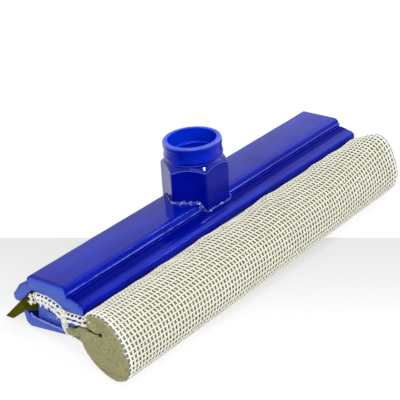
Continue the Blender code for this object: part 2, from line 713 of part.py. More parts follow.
def net_path():
    """Middle line of the net: up behind the core, over it, round the roll and back."""
    back_lean = (CORE_BACK_FOOT - CORE_BACK_TOP) / (CORE_FOOT - CORE_TOP)
    tail = (CORE_BACK_TOP + back_lean * (NET_TAIL_DROP - CORE_TOP), -NET_TAIL_DROP)
    over_core = parallel([tail, *core_top_line()[::-1]], -NET_SHEET_OFFSET)
    under_flange = [
        roof_line()[1],
        roof_line()[0],
        (-RIB_FORWARD - RIB_HALF_WIDTH, -RIB_DROP),
        (-FLANGE_REACH, -FLANGE_UNDERSIDE),
        (-FLANGE_REACH, -FLANGE_DROP),
    ]
    neck_line = [
        (-ROLL_FORWARD, neck_underside(-ROLL_FORWARD)),
        (-NECK_END, neck_underside(-NECK_END)),
        (-NECK_END, -NECK_TOP),
    ]
    under_neck = parallel(neck_line, -NET_SHEET_OFFSET)
    mouth = Vector((-MOUTH_FORWARD + NET_SHEET_OFFSET + NET_TURN_ROOM, 0))
    start = roll_crossings(mouth, Vector((1, 0)))[1]
    notch = roll_crossings(under_neck[0], Vector((-NECK_SLOPE, 1)).normalized())[0] + 2 * math.pi
    wrap = []
    for step in range(ROLL_STEPS + 1):
        angle = start + (notch - NET_NOTCH_EASE - start) * step / ROLL_STEPS
        wrap.append(roll_point(angle, NET_SHEET_OFFSET))
    first = over_core[:-1] + parallel(under_flange, NET_SHEET_OFFSET)[:-1] + wrap[:1]
    last = [wrap[-1], roll_point(notch, NET_SHEET_OFFSET), *under_neck[1:]]
    bent = [rounded([(*place, SHEET_FILLET) for place in line], closed=False) for line in (first, last)]
    return bent[0][:-1] + wrap + bent[1][1:]


def roll_crossings(point, normal):
    """Angles at which the net's oval round the roll crosses the line through a point."""
    short = (ROLL_SHORT_RADIUS + NET_SHEET_OFFSET) * ROLL_SHORT_AXIS.dot(normal)
    long = (ROLL_LONG_RADIUS + NET_SHEET_OFFSET) * ROLL_LONG_AXIS.dot(normal)
    swing = math.acos((point - ROLL_CENTRE).dot(normal) / math.hypot(short, long))
    middle = math.atan2(long, short)
    return middle - swing, middle + swing


def make_net_sleeve():
    """Net sheet as a thin closed wall along its path, pierced where the screws pass."""
    half = NET_LENGTH / 2
    path = net_path()
    mesh = bpy.data.meshes.new("net_sleeve")
    shape = bmesh.new()
    edges = []
    for near, far in zip(path, path[1:]):
        if not edges:
            last = shape.verts.new((-half, near.x, near.y))
        next_vert = shape.verts.new((-half, far.x, far.y))
        edges.append(shape.edges.new((last, next_vert)))
        last = next_vert
    drawn = bmesh.ops.extrude_edge_only(shape, edges=edges)
    moved = [item for item in drawn["geom"] if isinstance(item, bmesh.types.BMVert)]
    bmesh.ops.translate(shape, verts=moved, vec=(NET_LENGTH, 0, 0))
    bmesh.ops.recalc_face_normals(shape, faces=shape.faces)
    shape.to_mesh(mesh)
    shape.free()
    net = bpy.data.objects.new("net_sleeve", mesh)
    wall = net.modifiers.new("thickness", "SOLIDIFY")
    wall.thickness = NET_THICKNESS
    wall.offset = 0
    wall.use_even_offset = True
    for number, x in enumerate(screw_places(), start=1):
        radius = SCREW_SHANK_RADIUS + HOLE_CLEARANCE
        low = -CORE_TOP - NET_THICKNESS
        hole = cylinder(f"net_hole_{number}", radius, low, 0, SCREW_SIDES, x)
        combine(net, hole, "DIFFERENCE")
    link_part(net, net_cotton, SMOOTH_ANGLE)


def screw_places():
    """Distances of the screws along the bar, even on both sides of the socket."""
    last = BAR_LENGTH / 2 - SCREW_END_DISTANCE
    step = (last - SCREW_FIRST) / (SCREWS_PER_SIDE - 1)
    side = [SCREW_FIRST + step * index for index in range(SCREWS_PER_SIDE)]
    return [-x for x in reversed(side)] + side


def screw_profile():
    """Pan-head screw standing on its head: point, ridged thread, plain shank, head."""
    tip = -SCREW_COVER - SCREW_TIP_ROOM
    shoulder = tip - SCREW_POINT
    core = SCREW_SHANK_RADIUS - SCREW_THREAD_DEPTH
    profile = [(0, tip), (SCREW_TIP_RADIUS, tip), (core, shoulder)]
    for ridge in range(int(SCREW_THREADED / SCREW_THREAD_PITCH)):
        top = shoulder - ridge * SCREW_THREAD_PITCH
        profile.append((SCREW_SHANK_RADIUS, top - SCREW_THREAD_PITCH / 2))
        profile.append((core, top - SCREW_THREAD_PITCH))
    seat = screw_seat() - GAP
    profile += [
        (core, seat),
        (SCREW_HEAD_RADIUS, seat),
        (SCREW_HEAD_RADIUS, seat - SCREW_HEAD_RIM),
        (SCREW_HEAD_FLAT, seat - SCREW_HEAD_HEIGHT),
        (0, seat - SCREW_HEAD_HEIGHT),
    ]
    return profile


def make_screws():
    """Clamp screws, each with a cross recess in its head."""
    head_face = screw_seat() - GAP - SCREW_HEAD_HEIGHT
    low = head_face - SCREW_HEAD_HEIGHT
    high = head_face + SCREW_SLOT_DEPTH
    arm = SCREW_SLOT_LENGTH / 2
    half = SCREW_SLOT_WIDTH / 2
    inner = half + SCREW_SLOT_WIDTH / 10
    cross = [(-arm, -half), (-inner, -inner), (-half, -arm), (half, -arm), (inner, -inner), (arm, -half)]
    cross += [(-y, -z) for y, z in cross]
    for number, x in enumerate(screw_places(), start=1):
        screw = turned(f"clamp_screw_{number}", screw_profile(), SCREW_SIDES)
        screw.location.x = x
        recess = flat_tool(f"cross_recess_{number}", cross, low, high)
        recess.location.x = x
        combine(screw, recess, "DIFFERENCE")
        link_part(screw, screw_steel, math.radians(30))


def flat_tool(name, outline, low, high):
    """Upright tool of an outline in the XY plane, between two heights."""
    curve = bpy.data.curves.new(name, "CURVE")
    curve.dimensions = "2D"
    curve.fill_mode = "BOTH"
    curve.extrude = (high - low) / 2
    spline = curve.splines.new("POLY")
    spline.points.add(len(outline) - 1)
    for point, place in zip(spline.points, outline):
        point.co = (place[0], place[1], 0, 1)
    spline.use_cyclic_u = True
    guide = bpy.data.objects.new(name + "_outline", curve)
    guide.location.z = (low + high) / 2
    return curve_to_solid(name, guide)


def support(lean):
    """Depths of the roll and of the blade below the bar's origin, for a lean about X."""
    up = Vector((-math.sin(lean), math.cos(lean)))
    short = (ROLL_SHORT_RADIUS + ROLL_SKIN) * ROLL_SHORT_AXIS.dot(up)
    long = (ROLL_LONG_RADIUS + ROLL_SKIN) * ROLL_LONG_AXIS.dot(up)
    roll = math.hypot(short, long) - ROLL_CENTRE.dot(up)
    blade = max(-Vector(corner[:2]).dot(up) for corner in blade_corners())
    return roll, blade


def resting_lean():
    """Lean at which the roll and the blade's edge stand on one plane, by halving."""
    low = 0.0
    high = math.radians(40)
    for _ in range(50):
        middle = (low + high) / 2
        roll, blade = support(middle)
        if roll > blade:
            low = middle
        else:
            high = middle
    return (low + high) / 2


def resting_place(lean):
    """Shift that puts the leaned head's base on Z = 0 and its depth even about Y = 0."""
    forward = Vector((math.cos(lean), math.sin(lean)))
    short = (ROLL_SHORT_RADIUS + ROLL_SKIN) * ROLL_SHORT_AXIS.dot(forward)
    long = (ROLL_LONG_RADIUS + ROLL_SKIN) * ROLL_LONG_AXIS.dot(forward)
    front = ROLL_CENTRE.dot(forward) - math.hypot(short, long)
    back = max(Vector(corner[:2]).dot(forward) for corner in blade_corners())
    return (0, -(front + back) / 2, support(lean)[0])


clear_scene()
parts = make_collection("window_squeegee")
cutters = make_collection("cutters")
resting_frame = bpy.data.objects.new("resting_frame", None)
parts.objects.link(resting_frame)

blue_plastic = make_material("blue_plastic", (0.016, 0.04, 0.42), 0.28)
blade_rubber = make_material("blade_rubber", (0.05, 0.055, 0.012), 0.55)
sponge_foam = make_material("sponge_foam", (0.33, 0.31, 0.17), 0.95)
net_cotton = make_material("net_cotton", (0.78, 0.75, 0.62), 0.9)
screw_steel = make_material("screw_steel", (0.55, 0.56, 0.58), 0.3, metallic=1.0)

make_bar()
make_pole_socket()
make_clamp_bar()
make_blade()
make_sponge()
make_net_sleeve()
make_screws()

resting_frame.rotation_euler.x = -resting_lean()
resting_frame.location = resting_place(resting_lean())
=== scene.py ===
"""Looks of the window squeegee head: moulded blue plastic, an olive rubber blade, and a foam
roll in knitted netting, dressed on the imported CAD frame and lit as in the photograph.

Sections are drawn as in the CAD source, in the head's own frame: X along the bar, +Y towards
the blade, Z up the socket's axis, with the bar's flat top at Z = 0. The record's mount on the
collar's rim says where that frame stands in the row frame. Lengths are in metres.
"""

import json
import math
import random

import bmesh
import bpy
import numpy as np
from mathutils import Euler, Matrix, Vector, noise
from mathutils.geometry import delaunay_2d_cdt


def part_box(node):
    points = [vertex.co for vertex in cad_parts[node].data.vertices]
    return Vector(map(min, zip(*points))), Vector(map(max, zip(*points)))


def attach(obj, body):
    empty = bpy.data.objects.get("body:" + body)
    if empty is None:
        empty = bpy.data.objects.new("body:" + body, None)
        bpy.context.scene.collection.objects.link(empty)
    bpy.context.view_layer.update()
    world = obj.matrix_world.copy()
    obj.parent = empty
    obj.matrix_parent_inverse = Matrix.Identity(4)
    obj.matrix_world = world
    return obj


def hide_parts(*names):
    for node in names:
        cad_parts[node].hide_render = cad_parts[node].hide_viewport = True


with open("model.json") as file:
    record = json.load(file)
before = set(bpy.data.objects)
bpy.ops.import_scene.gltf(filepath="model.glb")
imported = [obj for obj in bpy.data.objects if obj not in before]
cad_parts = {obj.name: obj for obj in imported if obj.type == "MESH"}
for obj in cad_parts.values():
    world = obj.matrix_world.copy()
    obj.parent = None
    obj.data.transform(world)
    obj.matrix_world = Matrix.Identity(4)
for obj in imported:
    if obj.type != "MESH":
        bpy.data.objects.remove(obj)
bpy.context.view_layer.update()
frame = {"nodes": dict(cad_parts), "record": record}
noise.seed_set(7)  # without it the noise would start from the clock, and change from run to run

# Bar section
TOP_FRONT = 0.0092
BEAD_WIDTH = 0.0034
BEAD_ROUND_WIDTH = 0.0027
BEAD_ROUND_DROP = 0.0024
LEDGE_WIDTH = 0.0005
LEDGE_DEPTH = 0.0006
GROOVE_DEPTH = 0.0042
GROOVE_WIDTH = 0.0015
TOP_BACK = 0.0106
BACK_EDGE_RADIUS = 0.0013
BACK_STEP = 0.0033
BACK_STEP_WIDTH = 0.0012
ROOF_THICKNESS = 0.0062
NEAR_END_ROUND = 0.0024
FAR_END_ROUND = 0.0008
FRONT_END_ROUND = 0.00045
PLAIN_END_ROUND = 0.0003
FLANGE_WIDTH = 0.0075
FLANGE_FALL = 0.0024
FLANGE_TIP_THICKNESS = 0.0031
FLANGE_TIP_RADIUS = 0.0015
FLANGE_HEEL_RADIUS = 0.0004
FLANGE_BOW = 0.39
FLANGE_BEAD_WIDTH = 0.0024
FLANGE_BEAD_NOTCH = 0.00022
HOLLOW_SPECULAR = 0.04
RIB_FORWARD = 0.0106
RIB_DROP = 0.0104
RIB_HALF_WIDTH = 0.0006
CEILING_FILLET = 0.0020
LIP_KNEE = Vector((0.0166, -0.0060))
LIP_REACH = 0.0208
LIP_DROP = 0.0110
LIP_TIP_RADIUS = 0.0016
LIP_BEARING_LENGTH = 0.0122

# Pole socket
BORE_RADIUS = 0.01147
NECK_RADIUS = 0.0129
COLLAR_RADIUS = 0.0140
HEXAGON_RADIUS = 0.01634
HEXAGON_HEIGHT = 0.01465
HEXAGON_TURN = math.radians(-1.5)
HEXAGON_LEAN = 0.0009
CONE_TOP = 0.0172
COLLAR_BASE = 0.0186
COLLAR_TOP = 0.0263
COLLAR_EDGE = 0.0007
RIM_CHAMFER = 0.0006
BAND_DEPTH = 0.0003
BAND_LOW = 0.0200
BAND_HIGH = 0.0238
BORE_FLOOR = 0.0025
THREAD_PITCH = 0.0042
THREAD_STAND = 0.0008
THREAD_START = 0.0196
THREAD_HALF_WIDTH = 0.0010
MOULDED_EDGE = 0.0005
SOCKET_ROOT = 0.0050

# Weld round the socket's foot: angles in degrees
WELD_STEPS = 420
WELD_RADIUS = 0.0010
WELD_OFFSET = 0.0011
WELD_LUMP = 0.0005
WELD_RIPPLE = 0.0003
WELD_FRONT = 212
WELD_FRONT_REACH = 33
WELD_KNOTS = (196, 227, 242)
WELD_KNOT_REACH = 4
WELD_KNOT_OUT = 0.0006

# Clamp bar
CORE_FRONT = 0.0083
CORE_BACK_TOP = 0.0063
CORE_BACK_FOOT = 0.0088
CORE_SETBACK = 0.0012
PLATE_FRONT = 0.0090
PLATE_FRONT_TOP = 0.0212
PLATE_FRONT_THICKNESS = 0.0018
PLATE_HEEL = Vector((0.0128, -0.0256))
CURL_REACH = 0.0164
CURL_TOP = 0.0179
CURL_INNER = 0.0142
CURL_BELLY_IN = 0.0011
CURL_BELLY_RISE = 0.0015
CURL_BELLY_RADIUS = 0.0020
POCKET_BACK = 0.0120
POCKET_FLOOR = 0.0201
TONGUE_REACH = 0.0160
TONGUE_DROP = 0.0155
TONGUE_RADIUS = 0.0016
TONGUE_OVERHANG = 0.0004
FLASH_LINE = ((0.0116, -0.0186, 0), (0.0108, -0.0200, 0.001), (0.0085, -0.0204, 0.002), (-0.0088, -0.0212, 0))
FLASH_RADIUS = 0.00048
FLASH_INSET = 0.0001
FLASH_STEP = 0.0003
SCREW_HOLE_RADIUS = 0.0019
SCREW_RECESS_RADIUS = 0.0034
SCREW_SEAT_DEPTH = 0.0035
SCREW_BORE_END = -0.04

# Blade
BLADE_SLOPE = math.radians(42.6)
BLADE_ROOT_BACK = 0.0083
BLADE_FACE_LENGTH = 0.0276
BLADE_THICKNESS = 0.0035
BLADE_EDGE_THICKNESS = 0.0032
BLADE_EDGE_BEVEL = 0.0037
BLADE_WAIST = Vector((0.0089, -0.0155))
BLADE_END_ROUND = 0.00015
BLADE_TEAR = 0.0006
BLADE_TEAR_DEPTH = 0.0012
BLADE_FOOT_BACK = 0.0126
BLADE_FOOT_FADE = 0.0016
BLADE_FOOT_SETBACK = 0.009
BLADE_PRESSED = 0.00028
BLADE_SHADE_BACK = 0.0122

# Sponge roll
ROLL_CENTRE = Vector((-0.0322, -0.0210))
ROLL_SHORT_RADIUS = 0.01135
ROLL_LONG_RADIUS = 0.0157
ROLL_TILT = math.radians(32.7)
NECK_END = 0.0115
NECK_TOP = 0.0176
NECK_THICKNESS = 0.0026
NECK_SLOPE = 0.142
MOUTH_FORWARD = 0.0238
THROAT_START = 0.0010
THROAT_LENGTH = 0.0036
THROAT_DROP = 0.0150
MOUTH_DROP = 0.0132
SLIT_FORWARD = 0.0318
SLIT_DROP = 0.0145
SLIT_WIDTH = 0.0003
SLIT_HOLE_RADIUS = 0.0011
FOAM_SWELL = 0.0002
FOAM_STEP = 0.00042
FOAM_OUTLINE_STEP = 0.0006
FOAM_SWEEP_STEP = 0.0016
FOAM_END_STEPS = (0, 0.00012, 0.0003, 0.0006, 0.0010, 0.0015, 0.0022)
FOAM_END_ROUND = 0.0003
SLIT_END_ROUND = 0.00004

# Bulges and dips of the roll's squeezed top: place along X, height, reach
SQUEEZE_ANGLE = math.radians(98)
SQUEEZE_REACH = math.radians(26)
ROLL_SQUEEZE = -0.00115
ROLL_BULGES = (
    (-0.0653, -0.0004, 0.0045),
    (-0.0453, -0.0012, 0.0042),
    (-0.0273, 0.0003, 0.0050),
    (-0.0020, -0.0010, 0.0070),
    (0.0197, 0.0006, 0.0060),
    (0.0310, -0.0002, 0.0030),
    (0.0500, -0.0006, 0.0050),
    (0.0590, 0.0004, 0.0035),
    (0.0730, 0.0003, 0.0040),
    (0.0830, -0.0003, 0.0040),
    (0.0930, 0.0003, 0.0045),
    (0.1050, -0.0010, 0.0060),
)
FLARE_HEIGHT = 0.0024
FLARE_ANGLE = math.radians(153)
FAR_END_STRETCH = 0.0015
DENT_DEPTH = 0.0011
DENT_ANGLE = math.radians(315)
DENT_REACH = math.radians(38)

# Netting
GAP = 0.0003
NET_THICKNESS = 0.0007
NET_OFFSET = GAP + NET_THICKNESS / 2
NET_TAIL_DROP = 0.0130
WALE_PITCH = 0.00215
COURSE_PITCH = 0.00228
WALE_HALF_WIDTH = 0.00056
CLAMPED_SWELL = 0.30
CLAMPED_RUN = 0.0335
WALE_HALF_DEPTH = 0.00026
COURSE_HALF_WIDTH = 0.00039
COURSE_HALF_DEPTH = 0.00026
COURSE_RISE = 0.00022
WALE_STEPS = 4
COURSE_STEPS = 4
YARN_SIDES = 6
FOLD_REACH = 0.0007
HANGING_LENGTH = 0.006
TAIL_LENGTH = 0.007
TAIL_START = 0.1003

# Strip of netting that hangs over each end, and its loose threads, as (y, z) places
STRIP_EDGES = (
    (Vector((-0.0088, -0.0100)), Vector((-0.0092, -0.0178)), Vector((-0.0104, -0.0218))),
    (Vector((-0.0113, -0.0096)), Vector((-0.0117, -0.0172)), Vector((-0.0126, -0.0206))),
)
STRIP_YARN = 0.00040
CROSS_YARN = 0.00030
THREADS = (
    ((-0.0104, -0.0118), (-0.0090, -0.0128), (-0.0079, -0.0132), (-0.0068, -0.0140), (-0.0059, -0.0152)),
    ((-0.0079, -0.0132), (-0.0082, -0.0136), (-0.0084, -0.0140)),
    ((-0.0200, -0.0124), (-0.0222, -0.0130), (-0.0242, -0.0134), (-0.0250, -0.0140)),
)

# Facets
ARC_STEPS = 7
SOCKET_SIDES = 288
SWEEP_STEP = 0.003
SWEEP_END = 0.003
BORE_SIDES = 32
END_STEPS = (0, 0.00006, 0.00015, 0.0003, 0.0005, 0.0008, 0.0012, 0.0017, 0.0023)

# Places in the section
BAR_FRONT = TOP_FRONT + BEAD_WIDTH
FLANGE_ROOT = BAR_FRONT + GROOVE_WIDTH
FLANGE_REACH = FLANGE_ROOT + FLANGE_WIDTH
FLANGE_DROP = GROOVE_DEPTH + FLANGE_FALL
FLANGE_UNDERSIDE = FLANGE_DROP + FLANGE_TIP_THICKNESS
CORE_TOP = ROOF_THICKNESS + 2 * NET_OFFSET
CORE_FOOT = PLATE_FRONT_TOP + PLATE_FRONT_THICKNESS / 2
BLADE_RUN = Vector((math.cos(BLADE_SLOPE), -math.sin(BLADE_SLOPE)))
BLADE_NORMAL = Vector((math.sin(BLADE_SLOPE), math.cos(BLADE_SLOPE)))
BLADE_APEX = Vector((BLADE_ROOT_BACK, -ROOF_THICKNESS - GAP))
ROLL_SHORT_AXIS = Vector((math.cos(ROLL_TILT), -math.sin(ROLL_TILT)))
ROLL_LONG_AXIS = Vector((math.sin(ROLL_TILT), math.cos(ROLL_TILT)))

# Half lengths along X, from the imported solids
BAR_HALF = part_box("bar")[1].x
CLAMP_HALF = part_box("clamp_bar")[1].x
BLADE_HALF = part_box("blade")[1].x
SPONGE_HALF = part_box("sponge")[1].x
NET_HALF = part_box("net_sleeve")[1].x
FOLD_HALF = NET_HALF - 0.0006

# Camera, fitted to the photograph in the head's frame
CAMERA_PLACE = Vector((-0.40071, -0.35971, 0.25607))
CAMERA_AZIMUTH = math.radians(-48.18)
CAMERA_ELEVATION = math.radians(25.96)
CAMERA_ROLL = math.radians(-5.81)
FRAME_PX = 400
FOCAL_PX = 1265.35

# Image rows between which the photograph's floor fades from grey to white
FLOOR_EDGE_ROW = 237.7
FLOOR_FADE_ROW = 340
FLOOR_GREY = 0.72
FLOOR_GLOW = 0.86

# Lamps: name, place, size and power
LAMP_TARGET = Vector((0, 0, 0.02))
LAMPS = (
    ("key", (-0.45, -0.15, 1.0), 0.5, 3.1),
    ("fill", (-0.9, -0.9, 0.6), 0.6, 2.4),
    ("side", (0.72, 0.0066, 0.8438), 0.8, 3.0),
    ("spark_left", (-0.32, -0.56, 0.62), 0.05, 0.9),
    ("spark_right", (0.17, -0.62, 0.62), 0.05, 0.4),
    ("spark_over", (0.143, -0.069, 0.918), 0.07, 0.9),
    ("spark_side", (0.562, -0.106, 0.735), 0.05, 0.35),
)


def head_frame():
    """Matrix from the head's frame to the row frame, read from the collar rim's mount."""
    rim = next(item for item in frame["record"]["mounts"] if item["name"] == "collar_rim")
    up = Vector(rim["axis"]).normalized()
    back = up.cross(Vector((1, 0, 0)))
    origin = Vector((0, *rim["pos_m"][1:])) - up * COLLAR_TOP
    matrix = Matrix.Identity(4)
    for row in range(3):
        matrix[row][:] = ((1, 0, 0)[row], back[row], up[row], origin[row])
    return matrix


HEAD = head_frame()


# Sections and solids

def arc_corner(before, here, after, radius):
    """Points of the arc that rounds one corner, or the corner itself where it is straight."""
    to_before = before - here
    to_after = after - here
    half_angle = to_before.angle(to_after) / 2
    if radius <= 0 or math.pi / 2 - half_angle < math.radians(0.5):
        return [here]
    longest_reach = 0.49 * min(to_before.length, to_after.length)
    reach = min(radius / math.tan(half_angle), longest_reach)
    radius = reach * math.tan(half_angle)
    to_before.normalize()
    to_after.normalize()
    centre = here + (to_before + to_after).normalized() * radius / math.sin(half_angle)
    start = here + to_before * reach - centre
    end = here + to_after * reach - centre
    sweep = math.pi - 2 * half_angle
    points = []
    for step in range(ARC_STEPS + 1):
        share = step / ARC_STEPS
        weight_start = math.sin((1 - share) * sweep) / math.sin(sweep)
        weight_end = math.sin(share * sweep) / math.sin(sweep)
        points.append(centre + start * weight_start + end * weight_end)
    return points


def rounded(corners, closed=True):
    """Outline through (a, b, radius) corners, with each corner turned by a tangent arc."""
    places = [Vector(corner[:2]) for corner in corners]
    outline = []
    for index, corner in enumerate(corners):
        inner = closed or 0 < index < len(corners) - 1
        before = places[index - 1]
        after = places[(index + 1) % len(places)]
        outline += arc_corner(before, places[index], after, corner[2] if inner else 0)
    return outline


def parallel(points, distance):
    """Open line through (y, z) points, moved square to itself to the left of its direction."""
    places = [Vector(point[:2]) for point in points]
    runs = [(end - start).normalized() for start, end in zip(places, places[1:])]
    moved = []
    for index, place in enumerate(places):
        before = runs[max(index - 1, 0)]
        after = runs[min(index, len(runs) - 1)]
        square = Vector((-before.y - after.y, before.x + after.x))
        moved.append(place + square * distance / (1 + before.dot(after)))
    return moved


def inward_normals(outline):
    """Unit normal at each point of a closed outline, pointing into it."""
    area = sum(a.x * b.y - b.x * a.y for a, b in zip(outline, outline[1:] + outline[:1]))
    turn = 1 if area > 0 else -1
    normals = []
    for index, here in enumerate(outline):
        run = outline[(index + 1) % len(outline)] - outline[index - 1]
        normals.append(Vector((-run.y, run.x)).normalized() * turn)
    return normals


def stations(half, depths=END_STEPS, spacing=SWEEP_STEP):
    """Places of a sweep's rings along X: close together at both ends, even between them."""
    near = [half - depth for depth in depths]
    flat = half - SWEEP_END
    count = math.ceil(2 * flat / spacing)
    middle = [flat - 2 * flat * step / count for step in range(count + 1)]
    return near + middle + [-x for x in reversed(near)]


def end_inset(depth, radius):
    """How far an end edge rounded to a radius falls back, at a depth from the end."""
    short = max(radius - depth, 0)
    return radius - math.sqrt(radius**2 - short**2)


def loft(shape, rings, looped=False):
    """Skin neighbouring rings of vertices, and return the faces ring by ring."""
    pairs = [*zip(rings, rings[1:]), *([(rings[-1], rings[0])] if looped else [])]
    return [
        shape.faces.new((near[step - 1], near[step], far[step], far[step - 1]))
        for near, far in pairs
        for step in range(len(near))
    ]


def cap(shape, rings):
    """Close both ends of a loft."""
    shape.faces.new(rings[0][::-1])
    shape.faces.new(rings[-1])


def sweep(outline, half, waver, end_radius=lambda normal, x: PLAIN_END_ROUND):
    """Mesh of a closed (y, z) outline drawn along X, with rounded end edges and a slight waver."""
    normals = inward_normals(outline)
    shape = bmesh.new()
    rings = []
    for x in stations(half):
        ring = []
        for place, normal in zip(outline, normals):
            inset = end_inset(half - abs(x), end_radius(normal, x))
            co = Vector((x, *(place + normal * inset)))
            drift = noise.noise_vector(co * 90) * waver
            ring.append(shape.verts.new((x, co.y + drift.y, co.z + drift.z)))
        rings.append(ring)
    loft(shape, rings)
    shape.faces.new(rings[0])
    shape.faces.new(rings[-1][::-1])
    bmesh.ops.recalc_face_normals(shape, faces=shape.faces)
    return shape


def put(name, data):
    """New object of a data block, linked to the scene."""
    item = bpy.data.objects.new(name, data)
    bpy.context.scene.collection.objects.link(item)
    return item


def to_mesh(shape, name):
    """Mesh data block of a bmesh, which is freed, with its faces turned outwards."""
    bmesh.ops.recalc_face_normals(shape, faces=shape.faces)
    mesh = bpy.data.meshes.new(name)
    shape.to_mesh(mesh)
    shape.free()
    return mesh


def add_piece(name, mesh, materials, sharp=math.radians(40)):
    """Put a shape or mesh drawn in the head's frame into the scene, as a piece on the one body."""
    if isinstance(mesh, bmesh.types.BMesh):
        mesh = to_mesh(mesh, name)
    mesh.transform(HEAD)
    for material in materials:
        mesh.materials.append(material)
    mesh.shade_smooth()
    if sharp:
        mesh.set_sharp_from_angle(angle=sharp)
    piece = put(name, mesh)
    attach(piece, "root")
    return piece


# Materials

def new_material(name):
    """Empty node material, its tree and its Principled shader."""
    material = bpy.data.materials.new(name)
    material.use_nodes = True
    tree = material.node_tree
    return material, tree, tree.nodes["Principled BSDF"]


def feed(item, inputs):
    """Fill a node's inputs, each with a value or with another node's output."""
    for key, value in inputs.items():
        if isinstance(value, bpy.types.NodeSocket):
            item.id_data.links.new(value, item.inputs[key])
        else:
            item.inputs[key].default_value = value


def node(tree, kind, inputs, **settings):
    """Add a node, with its settings and its inputs."""
    item = tree.nodes.new("ShaderNode" + kind)
    for key, value in settings.items():
        setattr(item, key, value)
    feed(item, inputs)
    return item


def math_of(tree, operation, first, second=0.0):
    """Result of a sum on one or two values."""
    return node(tree, "Math", {0: first, 1: second}, operation=operation).outputs[0]


def places(tree, stretch=(1, 1, 1)):
    """Object coordinates, scaled along each axis."""
    coords = node(tree, "TexCoord", {})
    return node(tree, "Mapping", {"Vector": coords.outputs["Object"], "Scale": stretch}).outputs[0]


def noise_of(tree, scale, detail=2.0, roughness=0.5, stretch=(1, 1, 1)):
    """Value of a noise texture."""
    inputs = {"Vector": places(tree, stretch), "Scale": scale, "Detail": detail, "Roughness": roughness}
    return node(tree, "TexNoise", inputs).outputs["Fac"]


def cells_of(tree, scale):
    """Distance from the middle of the nearest of many small cells."""
    inputs = {"Vector": places(tree), "Scale": scale}
    return node(tree, "TexVoronoi", inputs, feature="F1").outputs["Distance"]


def remap(tree, value, low, high, to_low=0.0, to_high=1.0):
    """Value carried from one range to another, held at its ends."""
    inputs = {"Value": value, "From Min": low, "From Max": high, "To Min": to_low, "To Max": to_high}
    return node(tree, "MapRange", inputs).outputs[0]


def blend(tree, share, first, second, way="MIX"):
    """Colour between two colours, or their product."""
    first, second = ((*colour, 1) if isinstance(colour, tuple) else colour for colour in (first, second))
    inputs = {0: share, 6: first, 7: second}
    return node(tree, "Mix", inputs, data_type="RGBA", blend_type=way).outputs[2]


def bump(tree, height, distance, strength=1.0, normal=None):
    """Normal of a height in metres, over another bump if one is given."""
    inputs = {"Height": height, "Distance": distance, "Strength": strength}
    if normal is not None:
        inputs["Normal"] = normal
    return node(tree, "Bump", inputs).outputs[0]


def x_of(tree, coordinates="Object"):
    """X of a set of texture coordinates."""
    source = node(tree, "TexCoord", {}).outputs[coordinates]
    return node(tree, "SeparateXYZ", {"Vector": source}).outputs["X"]


def end_mask(tree, low, high):
    """1 on faces that look along X, which were cut or sawn, and 0 elsewhere."""
    return remap(tree, math_of(tree, "ABSOLUTE", x_of(tree, "Normal")), low, high)


def outer_mask(tree, low, high):
    """0 up to a distance along X from the head's middle, and 1 beyond another."""
    return remap(tree, math_of(tree, "ABSOLUTE", x_of(tree)), low, high)


def distance_along(tree, place, start, direction):
    """How far a place lies from a start, along a direction."""
    away = node(tree, "VectorMath", {0: place, 1: start}, operation="SUBTRACT").outputs[0]
    return node(tree, "VectorMath", {0: away, 1: direction}, operation="DOT_PRODUCT").outputs["Value"]


def tint(tree, share, colour):
    """Blend one more colour over a material's own."""
    shader = tree.nodes["Principled BSDF"]
    body = shader.inputs["Base Color"].links[0].from_socket
    feed(shader, {"Base Color": blend(tree, share, body, colour)})


def plastic_material(name, coat, dark, pale, smooth=0.08, lit_cut_end=(0.067, 0.120, 0.53)):
    """Glossy blue moulded plastic: flow ripples, scuffs, and cut ends that are rougher and painted paler, as
    painted light on ends the lamps light less.
    """
    material, tree, shader = new_material(name)
    flow = noise_of(tree, 110, 3.0, stretch=(0.35, 1, 1))
    grain = noise_of(tree, 2600)
    scuff = noise_of(tree, 1500, 3.0, 0.7, (1, 0.12, 1))
    outer = outer_mask(tree, BAR_HALF - 0.0045, BAR_HALF - 0.0035)
    # The cut mask makes the ends rougher and paints them paler, as painted light.
    cut = math_of(tree, "MULTIPLY", end_mask(tree, 0.35, 0.85), outer)
    body = blend(tree, remap(tree, flow, 0.35, 0.65), dark, pale)
    scuffed = remap(tree, scuff, 0.45, 0.75, smooth, smooth + 0.12)
    rippled = bump(tree, flow, 0.00030, 0.5)
    feed(shader, {
        "Base Color": blend(tree, cut, body, lit_cut_end),
        "Roughness": math_of(tree, "ADD", scuffed, remap(tree, cut, 0, 1, 0.0, 0.25)),
        "Normal": bump(tree, grain, 0.00002, 0.35, rippled),
        "Coat Normal": rippled,
        "IOR": 1.46,
        "Specular Tint": (0.02, 0.07, 1.0, 1),
        "Coat Weight": coat,
        "Coat Roughness": 0.05,
    })
    return material


def paint_hollow_shade(material, shade):
    """Painted shade in the hollow between the bar's bead and the flange's outer half: its colour darkened and
    its reflection turned down, as if the bead shaded it.
    """
    tree = material.node_tree
    y = distance_along(tree, places(tree), HEAD.translation, HEAD.col[1].to_3d())
    front = remap(tree, y, -FLANGE_ROOT - 0.68 * FLANGE_WIDTH, -FLANGE_ROOT - 0.38 * FLANGE_WIDTH)
    back = remap(tree, y, -BAR_FRONT - LEDGE_WIDTH, -BAR_FRONT, 1.0, 0.0)
    uncut = remap(tree, end_mask(tree, 0.2, 0.6), 0, 1, 1.0, 0.0)
    hollow = math_of(tree, "MULTIPLY", math_of(tree, "MULTIPLY", front, back), uncut)
    # Painted shade: a weaker reflection and a darker colour across the hollow.
    level = remap(tree, hollow, 0, 1, 0.5, HOLLOW_SPECULAR)
    feed(tree.nodes["Principled BSDF"], {"Specular IOR Level": level})
    tint(tree, remap(tree, hollow, 0, 1, 0, 0.8), shade)


